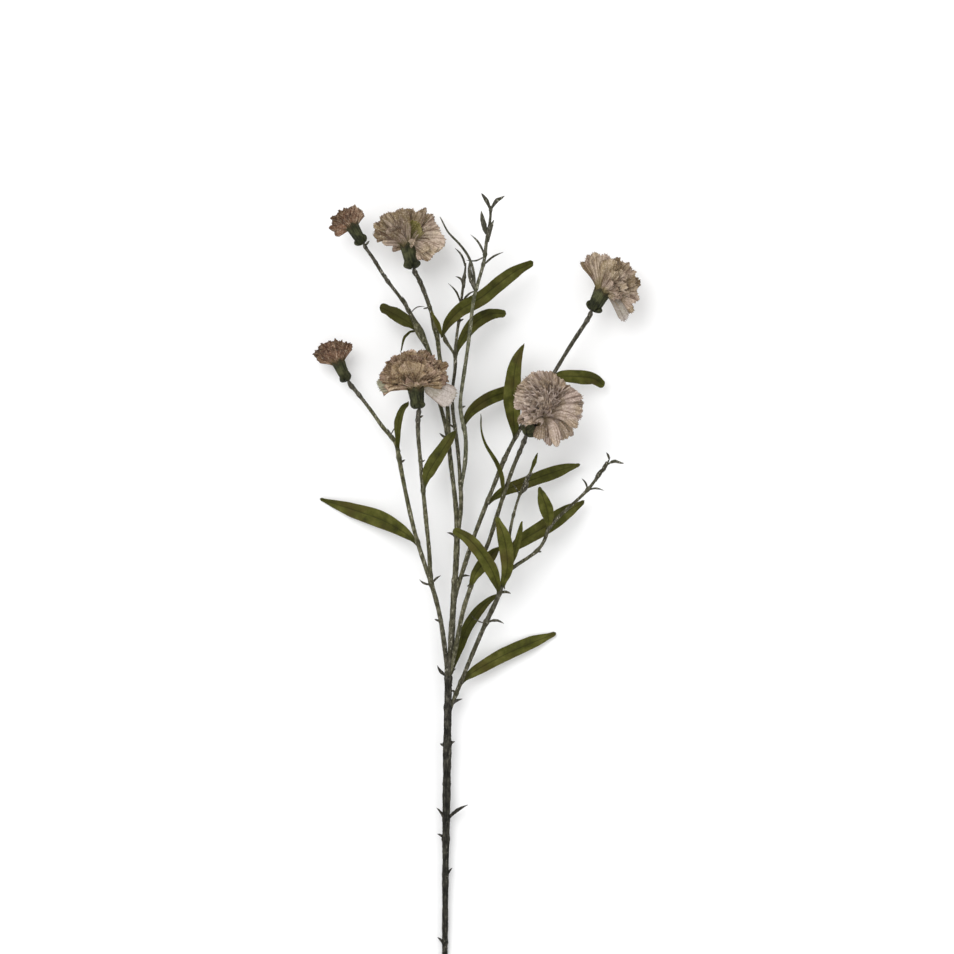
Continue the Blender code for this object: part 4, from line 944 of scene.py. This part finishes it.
for number, (flower, recipe) in enumerate(HEADS.items()):
    count, widest, aside_mm, ahead_mm, finish, slot_name, turned, bare, stand = recipe
    mouth, rise, ring = mouth_of(flower)
    level, upward, _ = flowers[flower]["axes"]
    rng = np.random.default_rng(900 + number)
    grids, tints = [], []
    for place in range(count):
        inner = place / (count - 1)
        azimuth = place * GOLDEN_TURN + rng.normal(0, 0.12)
        lean = math.radians(widest * (1 - inner) ** 0.65 + rng.normal(0, 3) + 3)
        out = level * math.cos(azimuth) + upward * math.sin(azimuth)
        if out[0] * bare[0] + out[1] * bare[1] > 0.05 and inner < 0.9:
            continue
        squash = 0.66 if turned > 0 else 0.9
        spread = level * math.cos(azimuth) + upward * math.sin(azimuth) * squash
        scale = rng.uniform(0.88, 1.04)
        tip = mouth + (spread * math.sin(lean) * aside_mm + rise * math.cos(lean) * ahead_mm) * MM * scale
        back = out * math.cos(lean) - rise * math.sin(lean)
        start = mouth - rise * 3.0 * MM + out * ring * (1 - 0.8 * inner)
        width = 0.36 * aside_mm * rng.uniform(0.85, 1.1)
        ruffle = (0.7 + 0.065 * aside_mm) * MM * rng.uniform(0.8, 1.25)
        fold = rng.choice([0.0, 0.0, 0.25])
        grids.append(petal_grid(start, rise, tip, back, width * MM, ruffle, 0.0, fold, stand, rng))
        tints.append(rng.uniform(0.1, 0.7))
    for *tip, width, ruffle, bulge, tint, fold in ((*row, 0)[:8] for row in SHOWN[flower]):
        grids.append(shown_petal(flower, tip, width, ruffle, bulge, fold, turned, rng))
        tints.append(tint)
    parts = [sheet_shell(clear_of_floor(grid, 3.5 * MM), PETAL_THICKNESS) for grid in grids]
    shades = np.repeat(tints, [len(part[0]) for part in parts])
    new_piece("fine_petals_" + flower, gathered(parts), shades, finish, ("petals_" + flower,))


# ---------------- folded heart of the top bloom
# The top bloom has split at its middle: one petal is folded into a hollow that shows its
# yellow-green inside, with a pale rolled lip at each edge.
# the heart colour here is near black, so the hollow darkens towards its claw: painted shade at the bottom of
# the hollow
heart_petal = petal_material("heart_petal", (0.01, 0.008, 0.002), (0.06, 0.05, 0.008), (0.225, 0.195, 0.05),
                             (0.48, 0.4, 0.23), (0.23, 0.165, 0.1), (0.15, 0.135, 0.02),
                             (0.26, 0.22, 0.09), 1.08, 0.97)
# tip from the calyx mouth, half width, ruffle (mm), bulge, fold: first the hollow, then its lips
HEART = (
    ((8, 14, 18.5), 8.6, 0.9, -0.05, 0.25), ((0.4, 15, 21.5), 2.2, 0.3, 0.05, 0.4),
    ((17, 12.5, 21), 2.2, 0.4, 0.1, 0.4), ((4.4, -0.6, 18), 4.2, 0.5, 0.1, 0),
    ((14.5, -5.5, 12), 5.5, 0.7, 0.1, 0),
)
rng = np.random.default_rng(1000)
sheets = [sheet_shell(shown_petal("top_bloom", *petal, 1, rng), PETAL_THICKNESS) for petal in HEART]
HEART_PARTS = (("hollow", sheets[:1], 0.5, heart_petal), ("lips", sheets[1:], 0.6, beige_petal))
for part_name, part, tint, finish in HEART_PARTS:
    new_piece("fine_top_bloom_" + part_name, gathered(part), tint, finish, ())


# ---------------- loose petals
# A few large petals have sagged clear of their heads: broad pale blades, less ruffled
# than the rest, that hang from the calyx mouth by their claws.
pale_petal = petal_material("pale_petal", (0.3, 0.26, 0.2), (0.24, 0.202, 0.165), (0.4, 0.352, 0.3),
                            (0.62, 0.575, 0.53), (0.17, 0.12, 0.09), (0.34, 0.315, 0.25),
                            (0.52, 0.46, 0.43), 1.12)
green_petal = petal_material("green_petal", (0.13, 0.125, 0.055), (0.17, 0.16, 0.095), (0.31, 0.295, 0.2),
                             (0.46, 0.44, 0.34), (0.15, 0.12, 0.07), (0.25, 0.26, 0.15),
                             (0.33, 0.3, 0.22), 1.1)

# petal, its flower, finish, tip from the calyx mouth in mm, half width, ruffle, bulge, fold,
# tint
LOOSE_PETALS = (
    ("petal_left_bloom_pale", "left_bloom", pale_petal, (29.0, -10.1, 3), 10.0, 0.4, 0.1, 0.0, 0.5),
    ("petal_left_bloom_green", "left_bloom", green_petal, (-28.6, 1.0, 1), 6.5, 0.7, 0.05, 0.0, 0.7),
    ("petal_right_bloom_drooping", "right_bloom", pale_petal, (17.2, -22.1, 4), 4.8, 0.6, 0.15, 0.3, 0.25),
)
for number, (petal, flower, finish, tip, width, ruffle, bulge, fold, tint) in enumerate(LOOSE_PETALS):
    rng = np.random.default_rng(1100 + number)
    grid = shown_petal(flower, tip, width, ruffle, bulge, fold, 1, rng)
    shell = sheet_shell(clear_of_floor(grid, 2.0 * MM), PETAL_THICKNESS * 1.3)
    new_piece("fine_" + petal, shell, tint, finish, (petal,))
